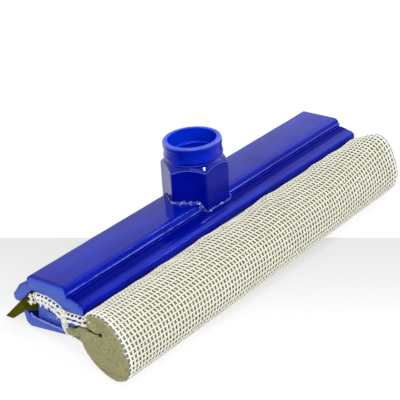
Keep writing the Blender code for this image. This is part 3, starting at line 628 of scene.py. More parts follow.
def paint_ledge_highlight(material, colour):
    """Painted highlight: blend a paler colour into patches along the ledge, strongest over the near part of
    the bar.
    """
    tree = material.node_tree
    near = remap(tree, x_of(tree), 0.010, 0.045, 1.0, 0.12)
    patches = remap(tree, noise_of(tree, 210, 3.0, stretch=(1, 0.1, 0.1)), 0.36, 0.52, 0.35, 1.0)
    tint(tree, math_of(tree, "MULTIPLY", near, patches), colour)


def paint_crest_glints(material, colour):
    """Painted glints: small pale specks along the weld's uneven crests, standing in for highlights, fewer on
    its far side.
    """
    tree = material.node_tree
    crests = remap(tree, noise_of(tree, 620, 2.0, 0.6), 0.53, 0.61)
    near = remap(tree, x_of(tree), 0.013, 0.019, 1.0, 0.25)
    tint(tree, math_of(tree, "MULTIPLY", crests, near), colour)


def rubber_material(name, drawn_colours, cut_colours):
    """Dark olive rubber: chalky mottling, drawn lines along it, rough cut ends."""
    material, tree, shader = new_material(name)
    drawn = noise_of(tree, 1800, 3.0, stretch=(0.05, 1, 1))
    mottle = noise_of(tree, 420, 4.0, 0.65)
    torn = noise_of(tree, 1900, 4.0, 0.7)
    body = blend(tree, remap(tree, mottle, 0.3, 0.7), *drawn_colours)
    end = blend(tree, remap(tree, torn, 0.35, 0.65), *cut_colours)
    feed(shader, {
        "Base Color": blend(tree, end_mask(tree, 0.5, 0.85), body, end),
        "Roughness": remap(tree, mottle, 0.3, 0.7, 0.5, 0.7),
        "Specular IOR Level": 0.01,
        "Normal": bump(tree, torn, 0.00025, 0.6, bump(tree, drawn, 0.00008, 0.5)),
    })
    return material


def foam_material(name, level):
    """Khaki open-cell foam: paler sawn ends, and pores of two sizes over a soft mottling, the pores darkened
    as painted shade; a level below 1 darkens the whole colour as painted shade.
    """
    material, tree, shader = new_material(name)
    cells = cells_of(tree, 1500.0)
    pores = cells_of(tree, 420.0)
    mottle = noise_of(tree, 160, 4.0, 0.6)
    specks = noise_of(tree, 1100, 3.0, 0.6)
    sawn = blend(tree, remap(tree, mottle, 0.3, 0.7), (0.335, 0.32, 0.155), (0.42, 0.40, 0.205))
    body = blend(tree, end_mask(tree, 0.3, 0.6), (0.355, 0.345, 0.24), sawn)
    speckle = blend(tree, 0.35, body, (0.13, 0.12, 0.045))
    speckled = blend(tree, remap(tree, specks, 0.38, 0.62), speckle, body)
    # Painted shade in the pores: a darker colour at their middles.
    pit = blend(tree, 0.6, body, (0.10, 0.09, 0.03))
    pitted = blend(tree, remap(tree, pores, 0.07, 0.17), pit, speckled)
    coarse = bump(tree, remap(tree, pores, 0.05, 0.30), 0.0004, 0.8)
    # The level multiplies the colour; below 1 it is painted shade.
    feed(shader, {
        "Base Color": blend(tree, 1.0, pitted, (level, level, level), "MULTIPLY"),
        "Roughness": 0.92,
        "Specular IOR Level": 0.15,
        "Normal": bump(tree, cells, 0.0003, 0.7, coarse),
    })
    return material


def yarn_material():
    """Off-white cotton yarn: twisted plies with painted shade between them, slight greying, whiter where it
    is squeezed at the ends.
    """
    material, tree, shader = new_material("net_cotton_yarn")
    plies = noise_of(tree, 3800, 2.0, 0.6)
    grey = noise_of(tree, 90, 3.0, 0.6)
    body = blend(tree, remap(tree, grey, 0.35, 0.65), (0.78, 0.76, 0.64), (0.83, 0.81, 0.69))
    body = blend(tree, outer_mask(tree, 0.0975, 0.1005), body, (0.92, 0.91, 0.86))
    # Painted shade between the plies, in this darker colour.
    between = blend(tree, 0.4, body, (0.68, 0.64, 0.52))
    feed(shader, {
        "Base Color": blend(tree, remap(tree, plies, 0.3, 0.6), between, body),
        "Roughness": 0.75,
        "Specular IOR Level": 0.2,
        "Sheen Weight": 0.15,
        "Sheen Roughness": 0.5,
        "Normal": bump(tree, plies, 0.00012, 0.7),
    })
    return material


def zinc_material():
    """Zinc-plated steel: faint mottling and fine scratches."""
    material, tree, shader = new_material("screw_zinc")
    mottle = noise_of(tree, 900, 3.0)
    scratch = noise_of(tree, 5200, stretch=(0.2, 1, 1))
    feed(shader, {
        "Base Color": blend(tree, remap(tree, mottle, 0.35, 0.65), (0.50, 0.51, 0.52), (0.66, 0.66, 0.62)),
        "Metallic": 1.0,
        "Roughness": remap(tree, mottle, 0.3, 0.7, 0.25, 0.42),
        "Normal": bump(tree, scratch, 0.00002, 0.5),
    })
    return material


# Bar, socket, clamp and blade

def front_corners():
    """Flat top's front edge: a rounded bead with a ledge under it, then the groove."""
    crest = BAR_FRONT - LEDGE_WIDTH - BEAD_ROUND_WIDTH
    bead = []
    for step in range(9):
        angle = math.pi / 2 * step / 8
        out = BEAD_ROUND_WIDTH * math.sin(angle)
        bead.append((-crest - out, -BEAD_ROUND_DROP * (1 - math.cos(angle)), 0))
    return [
        *bead,
        (-BAR_FRONT - LEDGE_WIDTH / 2, -BEAD_ROUND_DROP - LEDGE_DEPTH / 2, LEDGE_DEPTH / 4),
        (-BAR_FRONT - LEDGE_WIDTH / 2, -BEAD_ROUND_DROP - LEDGE_DEPTH, LEDGE_DEPTH / 4),
        (-BAR_FRONT, -BEAD_ROUND_DROP - 1.6 * LEDGE_DEPTH, LEDGE_WIDTH),
        (-BAR_FRONT, -GROOVE_DEPTH, 0.4 * GROOVE_WIDTH),
        (-FLANGE_ROOT, -GROOVE_DEPTH, 0.3 * GROOVE_WIDTH),
    ]


def flange_corners():
    """Front flange from its groove, out round its tip and back along its underside."""
    fall = FLANGE_FALL / FLANGE_WIDTH
    bead_start = FLANGE_REACH - FLANGE_BEAD_WIDTH
    bead_height = bowed_line(bead_start)[-1][1] - fall * FLANGE_BEAD_NOTCH
    return [
        *[(-y, z, 0) for y, z in bowed_line(bead_start)],
        (-bead_start, bead_height, FLANGE_BEAD_NOTCH),
        (-bead_start - FLANGE_BEAD_NOTCH, bead_height - FLANGE_BEAD_NOTCH, FLANGE_BEAD_NOTCH / 2),
        (-bead_start - 2 * FLANGE_BEAD_NOTCH, bead_height, FLANGE_BEAD_NOTCH),
        (-FLANGE_REACH, -FLANGE_DROP, FLANGE_TIP_RADIUS),
        (-FLANGE_REACH, -FLANGE_UNDERSIDE, FLANGE_HEEL_RADIUS),
        (-RIB_FORWARD - RIB_HALF_WIDTH, -RIB_DROP, RIB_HALF_WIDTH),
        (-RIB_FORWARD + RIB_HALF_WIDTH, -RIB_DROP, RIB_HALF_WIDTH),
        *[(y, z, CEILING_FILLET) for y, z in roof_line()[1:-1]],
    ]


def bowed_line(reach):
    """(distance, height) points of the flange's bowed upper side, out to a reach."""
    line = []
    for step in range(1, 7):
        share = (reach - FLANGE_ROOT) / FLANGE_WIDTH * step / 7
        fall = FLANGE_FALL * share * (1 + FLANGE_BOW * (share - 1))
        line.append((FLANGE_ROOT + share * FLANGE_WIDTH, -GROOVE_DEPTH - fall))
    return line


def roof_line():
    """Underside of the roof, from the rib to above the core's back corner."""
    return [
        (-RIB_FORWARD + RIB_HALF_WIDTH, -RIB_DROP),
        (-CORE_FRONT, -0.0085),
        (-0.0046, -0.0070),
        (-0.0008, -ROOF_THICKNESS),
        (CORE_BACK_TOP, -ROOF_THICKNESS),
    ]


def core_top_line():
    """Top of the core, one net sheet and its clearances below the roof."""
    return parallel(roof_line(), -2 * NET_OFFSET)[1:]


def lip_corners():
    """Back lip: down along the blade, round its tip, then up over its step to the top."""
    bearing = BLADE_APEX + BLADE_NORMAL * GAP
    root = bearing + BLADE_RUN * (-ROOF_THICKNESS - bearing.y) / BLADE_RUN.y
    toe = bearing + BLADE_RUN * LIP_BEARING_LENGTH
    return [
        (*root, GAP),
        (*toe, LIP_TIP_RADIUS / 3),
        (LIP_REACH, toe.y, LIP_TIP_RADIUS),
        (LIP_REACH, -LIP_DROP, LIP_TIP_RADIUS),
        (*LIP_KNEE, LIP_TIP_RADIUS),
        (TOP_BACK + BACK_STEP_WIDTH, -BACK_STEP, BACK_STEP_WIDTH / 2),
        (TOP_BACK, -BACK_STEP, BACK_STEP_WIDTH / 3),
        (TOP_BACK, 0, BACK_EDGE_RADIUS),
    ]


def bar_edge(normal, x):
    """Radius of the bar's end edges: wide over the near end of the top, slight underneath."""
    top = NEAR_END_ROUND if x < 0 else FAR_END_ROUND
    up = max(-normal.y, 0)
    front = max(normal.x, 0)
    return PLAIN_END_ROUND + (top - PLAIN_END_ROUND) * up**2 + (FRONT_END_ROUND - PLAIN_END_ROUND) * front


def make_bar():
    """Bar moulding, its flat top rolled down at the near end and its ledge painted pale as a highlight."""
    outline = rounded(front_corners() + flange_corners() + lip_corners())
    shape = sweep(outline, BAR_HALF, 0.00012, bar_edge)
    # The ledge's faces take the second material, whose pale patches are a painted highlight.
    for face in shape.faces:
        middle = face.calc_center_median()
        out = -middle.y - BAR_FRONT + 0.4 * LEDGE_WIDTH
        down = -middle.z - BEAD_ROUND_DROP
        face.material_index = int(0 < out < LEDGE_WIDTH and 0 < down < 0.6 * LEDGE_DEPTH)
    piece = add_piece("bar_moulding", shape, (plastic, ledge_plastic))
    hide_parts("bar")


def soft_least(first, second, width):
    """Lesser of two lengths, with the change between them rounded over a width."""
    near = max(width - abs(first - second), 0) / width
    return min(first, second) - near * near * width / 4


def hexagon_reach(angle):
    """Distance from the axis to the hexagon's rounded outline."""
    flat = HEXAGON_RADIUS * math.cos(math.pi / 6)
    reach = 1.0
    for side in range(6):
        facing = math.cos(angle - HEXAGON_TURN - math.radians(30 + 60 * side))
        if facing > 0.3:
            reach = soft_least(reach, flat / facing, 2 * MOULDED_EDGE)
    return reach


def foot_lean(z):
    """How far the hand-welded hexagon's foot stands to the near side, by height."""
    return HEXAGON_LEAN * min(max((CONE_TOP - z) / CONE_TOP, 0), 1)


def socket_profile():
    """(radius, z, inside) rings from the foot up the outside, over the rim and down the bore."""
    step = 0.00022
    wide = HEXAGON_RADIUS + 0.004
    slope = (CONE_TOP - HEXAGON_HEIGHT) / (HEXAGON_RADIUS - NECK_RADIUS)
    outside = [
        (0.004, -SOCKET_ROOT, 0),
        (wide, -SOCKET_ROOT, 0),
        (wide, HEXAGON_HEIGHT - slope * (wide - HEXAGON_RADIUS), 0),
        (NECK_RADIUS, CONE_TOP, MOULDED_EDGE),
        (NECK_RADIUS, COLLAR_BASE, 0.0003),
        (COLLAR_RADIUS, COLLAR_BASE, 0.0003),
        (COLLAR_RADIUS, BAND_LOW, 0.0006),
        (COLLAR_RADIUS - BAND_DEPTH, BAND_LOW + BAND_DEPTH, 0.0006),
        (COLLAR_RADIUS - BAND_DEPTH, BAND_HIGH - BAND_DEPTH, 0.0006),
        (COLLAR_RADIUS, BAND_HIGH, 0.0006),
        (COLLAR_RADIUS, COLLAR_TOP - RIM_CHAMFER, COLLAR_EDGE),
        (COLLAR_RADIUS - RIM_CHAMFER, COLLAR_TOP, COLLAR_EDGE),
        (BORE_RADIUS, COLLAR_TOP, COLLAR_EDGE / 2),
        (BORE_RADIUS, BORE_FLOOR, MOULDED_EDGE),
        (0.0005, BORE_FLOOR, 0),
    ]
    line = rounded(outside, closed=False)
    rings = [line[0]]
    for near, far in zip(line, line[1:]):
        count = max(1, math.ceil((far - near).length / step)) if far.x > 0.005 else 6
        rings += [near.lerp(far, (index + 1) / count) for index in range(count)]
    top = max(range(len(rings)), key=lambda index: rings[index].y)
    return [(place.x, place.y, index > top and place.x < NECK_RADIUS) for index, place in enumerate(rings)]


def thread_height(angle, z):
    """How far the helical thread stands in from the bore's wall."""
    turns = (THREAD_START - z) / THREAD_PITCH
    phase = (turns - angle / (2 * math.pi)) % 1
    off = min(phase, 1 - phase) * THREAD_PITCH
    start = min(max(turns * 4, 0), 1)
    end = min(max((z - BORE_FLOOR) / 0.002 - 0.5, 0), 1)
    ridge = max(1 - (off / THREAD_HALF_WIDTH) ** 2, 0)
    return THREAD_STAND * math.sqrt(ridge) * start * end


def make_socket():
    """Socket moulding on a polar grid: hexagon under its cone, collar, threaded bore."""
    angles = [2 * math.pi * side / SOCKET_SIDES for side in range(SOCKET_SIDES)]
    hexed = [hexagon_reach(angle) for angle in angles]
    profile = socket_profile()
    shape = bmesh.new()
    rings = []
    for radius, z, inside in profile:
        ring = []
        for angle, hexagon in zip(angles, hexed):
            if inside:
                reach = radius - (thread_height(angle, z) if radius > BORE_RADIUS - 1e-5 else 0)
            else:
                reach = soft_least(radius, hexagon, 2 * MOULDED_EDGE)
            x = reach * math.cos(angle) - (0 if inside else foot_lean(z))
            ring.append(shape.verts.new((x, reach * math.sin(angle), z)))
        rings.append(ring)
    loft(shape, rings)
    cap(shape, rings)
    finishes = (hexagon_shaded_plastic, bore_lit_plastic, collar_lit_plastic, highlight_plastic, cone_shaded_plastic)
    piece = add_piece("socket_moulding", shape, finishes, None)
    finish_socket(piece.data, profile)
    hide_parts("pole_socket")


def finish_socket(mesh, profile):
    """Share the socket's faces out among its five finishes, by ring and by slope: copies of one blue plastic,
    paler in the bore and on the collar as painted light, darker on the hexagon and the cone as painted shade,
    and pale on the rim and the sloped edges as a painted highlight.
    """
    hexagon, bore_lit, collar, highlit, cone = range(5)
    up = HEAD.col[2].to_3d()
    for index, (radius, z, inside) in enumerate(profile[1:]):
        rim = z > COLLAR_TOP - RIM_CHAMFER
        finish = bore_lit if inside else highlit if rim else collar if z > COLLAR_BASE - 0.0001 else hexagon
        for face in mesh.polygons[index * SOCKET_SIDES : (index + 1) * SOCKET_SIDES]:
            slope = face.normal.dot(up) if finish == hexagon else 0
            face.material_index = cone if slope > 0.36 else highlit if slope > 0.10 else finish


def tube(shape, line, radii, sides=8, looped=False):
    """Round tube along a line of points, with a radius at each, added to a bmesh."""
    count = len(line)
    rings = []
    for index, (place, radius) in enumerate(zip(line, radii)):
        after = line[(index + 1) % count] if looped else line[min(index + 1, count - 1)]
        before = line[index - 1] if looped else line[max(index - 1, 0)]
        run = (after - before).normalized()
        side = run.cross(Vector((0.1, 0.2, 1))).normalized()
        up = side.cross(run)
        ring = []
        for step in range(sides):
            angle = 2 * math.pi * step / sides
            ring.append(shape.verts.new(place + (side * math.cos(angle) + up * math.sin(angle)) * radius))
        rings.append(ring)
    loft(shape, rings, looped)
    if not looped:
        cap(shape, rings)


def bar_height(y):
    """Height of the bar's upper side at a distance back from the socket's axis."""
    front = (-FLANGE_ROOT, -BAR_FRONT - 0.0003, -BAR_FRONT + 0.0008)
    back = (TOP_BACK - 0.0004, TOP_BACK + 0.0004, LIP_KNEE.x)
    heights = (-GROOVE_DEPTH, -GROOVE_DEPTH + 0.0008, 0, 0, -BACK_STEP, LIP_KNEE.y)
    return float(np.interp(y, front + back, heights))


def make_weld():
    """Uneven bead of welded plastic round the foot of the hexagon, on the bar's top."""
    line = []
    radii = []
    for step in range(WELD_STEPS):
        angle = 2 * math.pi * step / WELD_STEPS
        turn = Vector((math.cos(angle), math.sin(angle), 0))
        reach = hexagon_reach(angle)
        lump = noise.noise(turn * 14 + Vector((0, 0, 0.3)))
        fine = noise.noise(turn * 38 + Vector((0, 0, 4.1)))
        knot = float(sum(bell(math.degrees(angle), at, WELD_KNOT_REACH) for at in WELD_KNOTS))
        facing = math.cos(angle - math.radians(WELD_FRONT)) - math.cos(math.radians(WELD_FRONT_REACH))
        front = 0.4 + 0.6 * min(max(facing * 8, 0), 1)
        out = turn * (WELD_OFFSET * front + WELD_LUMP * lump + WELD_KNOT_OUT * knot)
        y = reach * math.sin(angle)
        level = bar_height(y + out.y) + WELD_RIPPLE * fine
        line.append(Vector((reach * math.cos(angle) - HEXAGON_LEAN, y, level)) + out)
        radii.append(WELD_RADIUS * front * (1 + 0.6 * lump + 0.9 * fine + 0.3 * knot))
    shape = bmesh.new()
    tube(shape, line, radii, 12, looped=True)
    add_piece("socket_weld_bead", shape, (welded_plastic,), None)


def make_flash():
    """Thin uneven rim of squeezed-out plastic along the plate's top edge at both ends, painted pale as a
    highlight.
    """
    bend = rounded(FLASH_LINE, closed=False)
    shape = bmesh.new()
    for side in (-1, 1):
        line = []
        radii = []
        for start, end in zip(bend, bend[1:]):
            count = max(1, round((end - start).length / FLASH_STEP))
            for step in range(count):
                spot = start.lerp(end, step / count)
                co = Vector((side * (CLAMP_HALF - FLASH_INSET), spot.x, spot.y + FLASH_INSET))
                line.append(co + Vector((0, 0, 0.0002 * noise.noise(co * 700))))
                radii.append(FLASH_RADIUS * (1 + 0.9 * noise.noise(co * 400)))
        tube(shape, line, radii)
    add_piece("clamp_flash_rim", shape, (flash_highlight_plastic,), None)


def blade_inner_point(height, clearance=0.0):
    """Point of the blade's inner face, or of a line under it, at a given height."""
    foot = BLADE_APEX - BLADE_NORMAL * (BLADE_THICKNESS + clearance)
    return foot + BLADE_RUN * (height - foot.y) / BLADE_RUN.y


def plate_underside(y):
    """Height of the clamp bar's flat underside at a distance back from the middle."""
    front = -PLATE_FRONT_TOP - PLATE_FRONT_THICKNESS
    fall = (front - PLATE_HEEL.y) / (PLATE_HEEL.x + PLATE_FRONT)
    return front - fall * (y + PLATE_FRONT)


def screw_places():
    """Distances of the screws along the bar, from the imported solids."""
    names = [name for name in frame["nodes"] if name.startswith("clamp_screw")]
    return [(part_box(name)[0].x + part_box(name)[1].x) / 2 for name in sorted(names)]


def make_clamp():
    """Clamp bar: plate with a curled back edge, core block and tongue, bored for the screws."""
    curl_tip = blade_inner_point(-CURL_TOP, GAP)
    curl_side = curl_tip + BLADE_RUN * (CURL_REACH - curl_tip.x) / BLADE_RUN.x
    plate = [
        (-PLATE_FRONT, -PLATE_FRONT_TOP, 0.0003),
        (POCKET_BACK, -POCKET_FLOOR, 0.0006),
        (CURL_INNER, -CURL_TOP, 0.0003),
        (*curl_tip, 0.0003),
        (*curl_side, 0.0006),
        (CURL_REACH - CURL_BELLY_IN, PLATE_HEEL.y + CURL_BELLY_RISE, CURL_BELLY_RADIUS),
        (*PLATE_HEEL, CURL_BELLY_RADIUS),
        (-PLATE_FRONT, plate_underside(-PLATE_FRONT), 0.0003),
    ]
    core = [
        *[(*place, 0.0010) for place in core_top_line()[:-1]],
        (CORE_BACK_TOP, -CORE_TOP, 0.0006),
        (CORE_BACK_FOOT, -CORE_FOOT, 0),
        (-CORE_FRONT, -CORE_FOOT, 0),
    ]
    tongue = [
        (0, -TONGUE_DROP + TONGUE_RADIUS, 0),
        (0, -TONGUE_DROP - TONGUE_RADIUS, 0),
        (-TONGUE_REACH, -TONGUE_DROP - TONGUE_RADIUS, TONGUE_RADIUS),
        (-TONGUE_REACH, -TONGUE_DROP + TONGUE_RADIUS, TONGUE_RADIUS),
    ]
    # The tongue takes the pale copy, painted as a highlight on its end.
    forms = (
        ("clamp_plate", plate, CLAMP_HALF, plastic),
        ("clamp_core", core, CLAMP_HALF - CORE_SETBACK, plastic),
        ("clamp_tongue", tongue, CLAMP_HALF + TONGUE_OVERHANG, highlight_plastic),
    )
    pieces = []
    for name, corners, half, material in forms:
        shape = sweep(rounded(corners), half, 0.00008)
        pieces.append(add_piece(name, shape, (material,)))
    for piece in pieces[:2]:
        bore_for_screws(piece)
    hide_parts("clamp_bar")


def screw_bores():
    """Solids of the stepped screw holes in the clamp bar."""
    seat = plate_underside(0) + SCREW_SEAT_DEPTH
    hole, recess = SCREW_HOLE_RADIUS, SCREW_RECESS_RADIUS
    shape = bmesh.new()
    for x in screw_places():
        rings = []
        for radius, z in ((hole, 0), (hole, seat), (recess, seat), (recess, SCREW_BORE_END)):
            ring = []
            for step in range(BORE_SIDES):
                angle = 2 * math.pi * step / BORE_SIDES
                ring.append(shape.verts.new((x + radius * math.cos(angle), radius * math.sin(angle), z)))
            rings.append(ring)
        loft(shape, rings)
        cap(shape, rings)
    mesh = to_mesh(shape, "screw_bores")
    mesh.transform(HEAD)
    return mesh


def bore_for_screws(piece):
    """Cut the screw holes out of a piece of the clamp bar."""
    tool = put("screw_bores", screw_bores())
    cut = piece.modifiers.new("bores", "BOOLEAN")
    cut.operation = "DIFFERENCE"
    cut.solver = "EXACT"
    cut.object = tool
    bpy.context.view_layer.update()
    evaluated = piece.evaluated_get(bpy.context.evaluated_depsgraph_get())
    bored = bpy.data.meshes.new_from_object(evaluated)
    piece.modifiers.clear()
    piece.data = bored
    bpy.data.objects.remove(tool)


def blade_corners():
    """Blade's section: from under the bar's lip to its edge, and back through the curl to its foot."""
    edge = BLADE_APEX + BLADE_RUN * BLADE_FACE_LENGTH
    inner_edge = edge - BLADE_NORMAL * BLADE_EDGE_THICKNESS - BLADE_RUN * BLADE_EDGE_BEVEL
    fork = blade_inner_point(-CURL_TOP + GAP)
    pocket = parallel([(POCKET_BACK, -POCKET_FLOOR), (CURL_INNER, -CURL_TOP)], GAP)
    foot = -POCKET_FLOOR + 0.0004
    pressed = BLADE_APEX + BLADE_NORMAL * BLADE_PRESSED
    return [
        (*pressed, 0.0003),
        (*(pressed + BLADE_RUN * LIP_BEARING_LENGTH), 0.0003),
        (*edge, 0.0001),
        (*inner_edge, 0.0003),
        (*fork, 0.0003),
        (pocket[1].x, -CURL_TOP + GAP, 0.0003),
        (pocket[0].x, foot, 0.0003),
        (CORE_BACK_FOOT + 0.0007, foot, 0.0003),
        (*BLADE_WAIST, 0.0010),
    ]


def make_blade():
    """Rubber blade, its cut ends torn a little and its foot set back, with painted shade on its upper face
    and on its root and foot.
    """
    shape = sweep(rounded(blade_corners()), BLADE_HALF, 0.0001, lambda normal, x: BLADE_END_ROUND)
    for vert in shape.verts:
        root = min(max((BLADE_FOOT_BACK - vert.co.y) / BLADE_FOOT_FADE, 0), 1)
        vert.co.x *= 1 - root * BLADE_FOOT_SETBACK / BLADE_HALF
        past = max(abs(vert.co.x) - BLADE_HALF + BLADE_TEAR_DEPTH, 0) / BLADE_TEAR_DEPTH
        tear = noise.noise(Vector((vert.co.y * 700, vert.co.z * 700, vert.co.x * 300)))
        vert.co.x += math.copysign(BLADE_TEAR * tear * past, -vert.co.x)
        vert.co.z += 0.0005 * past * noise.noise(Vector((vert.co.y * 420, 3.0, vert.co.x)))
    bmesh.ops.recalc_face_normals(shape, faces=shape.faces)
    # Faces on the upper side, and those nearer than the set distance, take the darker rubber: painted shade.
    for face in shape.faces:
        upper = face.normal.yz.dot(BLADE_NORMAL) > 0.7
        face.material_index = int(upper or face.calc_center_median().y < BLADE_SHADE_BACK)
    piece = add_piece("blade_strip", shape, (rubber, shaded_rubber))
    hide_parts("blade")


# Sponge

def bell(value, middle, reach):
    """1 at the middle, falling away softly on both sides."""
    return np.exp(-(((value - middle) / reach) ** 2))


def roll_puff(x, angle):
    """How far the roll stands out from its oval, by place along it and angle round it."""
    height = ROLL_SQUEEZE + 0.0001 * np.sin(x * 420)
    for place, rise, reach in ROLL_BULGES:
        height = height + rise * bell(x, place, reach)
    flare = bell(angle, FLARE_ANGLE, SQUEEZE_REACH) * bell(x, 0.106, 0.017)
    dent = bell(angle, DENT_ANGLE, DENT_REACH) * bell(x, -0.103, 0.020)
    return bell(angle, SQUEEZE_ANGLE, SQUEEZE_REACH) * height + flare * FLARE_HEIGHT - dent * DENT_DEPTH


def far_stretch(x):
    """How far the roll's far end is drawn out along X."""
    share = np.clip((x - 0.050) / 0.0525, 0, 1)
    return FAR_END_STRETCH * share * share


def roll_angle(y, z):
    """Angle of a place round the roll's oval, in its stretched circle."""
    across = (y - ROLL_CENTRE.x) * ROLL_SHORT_AXIS.x + (z - ROLL_CENTRE.y) * ROLL_SHORT_AXIS.y
    along = (y - ROLL_CENTRE.x) * ROLL_LONG_AXIS.x + (z - ROLL_CENTRE.y) * ROLL_LONG_AXIS.y
    return np.mod(np.arctan2(along / ROLL_LONG_RADIUS, across / ROLL_SHORT_RADIUS), 2 * np.pi)


def slit_hole():
    """Ragged outline of the small hole at the slit's end, from the slit's lower to its upper edge."""
    points = []
    for step in range(15):
        angle = math.radians(-14) - math.radians(332) * step / 14
        reach = SLIT_HOLE_RADIUS * (1 + 0.35 * math.sin(5 * angle) + 0.2 * math.sin(9 * angle + 1))
        y = -SLIT_FORWARD + reach * math.cos(angle)
        points.append(Vector((y, -SLIT_DROP - SLIT_WIDTH / 2 + 0.8 * reach * math.sin(angle))))
    return points


def sponge_outline():
    """Outline of roll and neck, cut by the mouth and by the slit that ends in a small hole."""
    mouth = Vector((-MOUTH_FORWARD, 0))
    start = roll_crossings(mouth, Vector((1, 0)), FOAM_SWELL)[1]
    neck = Vector((ROLL_CENTRE.x, neck_underside(ROLL_CENTRE.x)))
    notch = roll_crossings(neck, Vector((-NECK_SLOPE, 1)).normalized(), FOAM_SWELL)[0] + 2 * math.pi
    roll = [roll_point(start + (notch - start) * step / 150, FOAM_SWELL) for step in range(151)]
    under = [
        (*roll[-1], 0),
        (-NECK_END - 0.004, neck_underside(-NECK_END - 0.004) + 0.0002, 0.002),
        (-NECK_END, neck_underside(-NECK_END), 0.0009),
        (-NECK_END, -NECK_TOP, 0.0007),
        (-TONGUE_REACH + THROAT_START, -NECK_TOP, 0.0012),
        (-TONGUE_REACH - THROAT_LENGTH, -THROAT_DROP, 0.0012),
    ]
    hole = slit_hole()
    upper = [(*hole[-1], 0), (-MOUTH_FORWARD, -MOUTH_DROP, 0.0012), (*roll[0], 0)]
    lower_side = rounded([*under, (*hole[0], 0)], closed=False)
    upper_side = rounded(upper, closed=False)
    return roll[:-1] + lower_side[:-1] + hole[:-1] + upper_side[:-1]


def even_outline(outline, step):
    """Closed outline with further points on its long sides."""
    points = []
    for here, after in zip(outline, outline[1:] + outline[:1]):
        count = max(1, math.ceil((after - here).length / step))
        points += [here.lerp(after, index / count) for index in range(count)]
    return points


def foam_place(x, spot):
    """3D place of a point of the foam's section at a distance along the roll."""
    angle = float(roll_angle(spot.x, spot.y))
    from_centre = spot - ROLL_CENTRE
    share = min(from_centre.length / ROLL_SHORT_RADIUS, 1) ** 2
    puff = float(roll_puff(x, angle)) * share
    moved = spot + from_centre.normalized() * puff
    return Vector((x + float(far_stretch(x)), moved.x, moved.y))


def make_sponge():
    """Foam roll and neck, with sawn, pitted end faces and a slit that ends in a ragged hole."""
    outline = even_outline(sponge_outline(), FOAM_OUTLINE_STEP)
    normals = inward_normals(outline)
    torn = [-0.036 < spot.x < -0.0243 and -0.0170 < spot.y < -0.0130 for spot in outline]
    rounding = [SLIT_END_ROUND if inside else FOAM_END_ROUND for inside in torn]
    shape = bmesh.new()
    rings = []
    for x in stations(SPONGE_HALF, FOAM_END_STEPS, FOAM_SWEEP_STEP):
        ring = []
        for spot, normal, radius in zip(outline, normals, rounding):
            place = foam_place(x, spot + normal * end_inset(SPONGE_HALF - abs(x), radius))
            ring.append(shape.verts.new(place + Vector((0, *(normal * foam_pit(place))))))
        rings.append(ring)
    # Faces in the slit take the darker foam: painted shade.
    for index, face in enumerate(loft(shape, rings)):
        face.material_index = int(torn[index % len(torn)])
    edge = [spot + normal * radius for spot, normal, radius in zip(outline, normals, rounding)]
    cap_foam(shape, rings[0], SPONGE_HALF, edge)
    cap_foam(shape, rings[-1], -SPONGE_HALF, edge)
    bmesh.ops.delete(shape, geom=[vert for vert in shape.verts if not vert.link_faces], context="VERTS")
    piece = add_piece("sponge_foam_roll", shape, (foam, slit_shaded_foam), None)
    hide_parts("sponge")


def cap_foam(shape, ring, x, edge):
    """Close one end of the foam with a fine pitted face."""
    low = Vector((min(spot.x for spot in edge), min(spot.y for spot in edge)))
    high = Vector((max(spot.x for spot in edge), max(spot.y for spot in edge)))
    inner = []
    for row in range(math.ceil((high.y - low.y) / FOAM_STEP)):
        for column in range(math.ceil((high.x - low.x) / FOAM_STEP)):
            shift = 0.5 * (row % 2) + 0.2 * math.sin(row * 12.9 + column * 7.3)
            inner.append(low + Vector((column + shift, row)) * FOAM_STEP)
    sides = [(index, (index + 1) % len(edge)) for index in range(len(edge))]
    spots, _, faces, sources, _, _ = delaunay_2d_cdt(edge + inner, sides, [], 1, 1e-7)
    verts = []
    for spot, source in zip(spots, sources):
        on_edge = [index for index in source if index < len(edge)]
        if on_edge:
            verts.append(ring[on_edge[0]])
            continue
        place = foam_place(x, spot)
        near_slit = float(bell((spot - Vector((-SLIT_FORWARD, -SLIT_DROP))).length, 0, 0.0013))
        depth = foam_pit(place) + 0.0003 * near_slit - 0.0002 * noise.noise(place * 160)
        verts.append(shape.verts.new(place - Vector((math.copysign(depth, x), 0, 0))))
    for face in faces:
        shape.faces.new([verts[index] for index in face])


def foam_pit(place):
    """Depth of the foam's pits at a place, with a few deeper holes."""
    fine = max(noise.noise(place * 1200), 0) * 0.00030
    hole = max(noise.noise(place * 430 + Vector((7, 3, 1))) - 0.45, 0) * 0.0030
    return fine + hole


# Netting

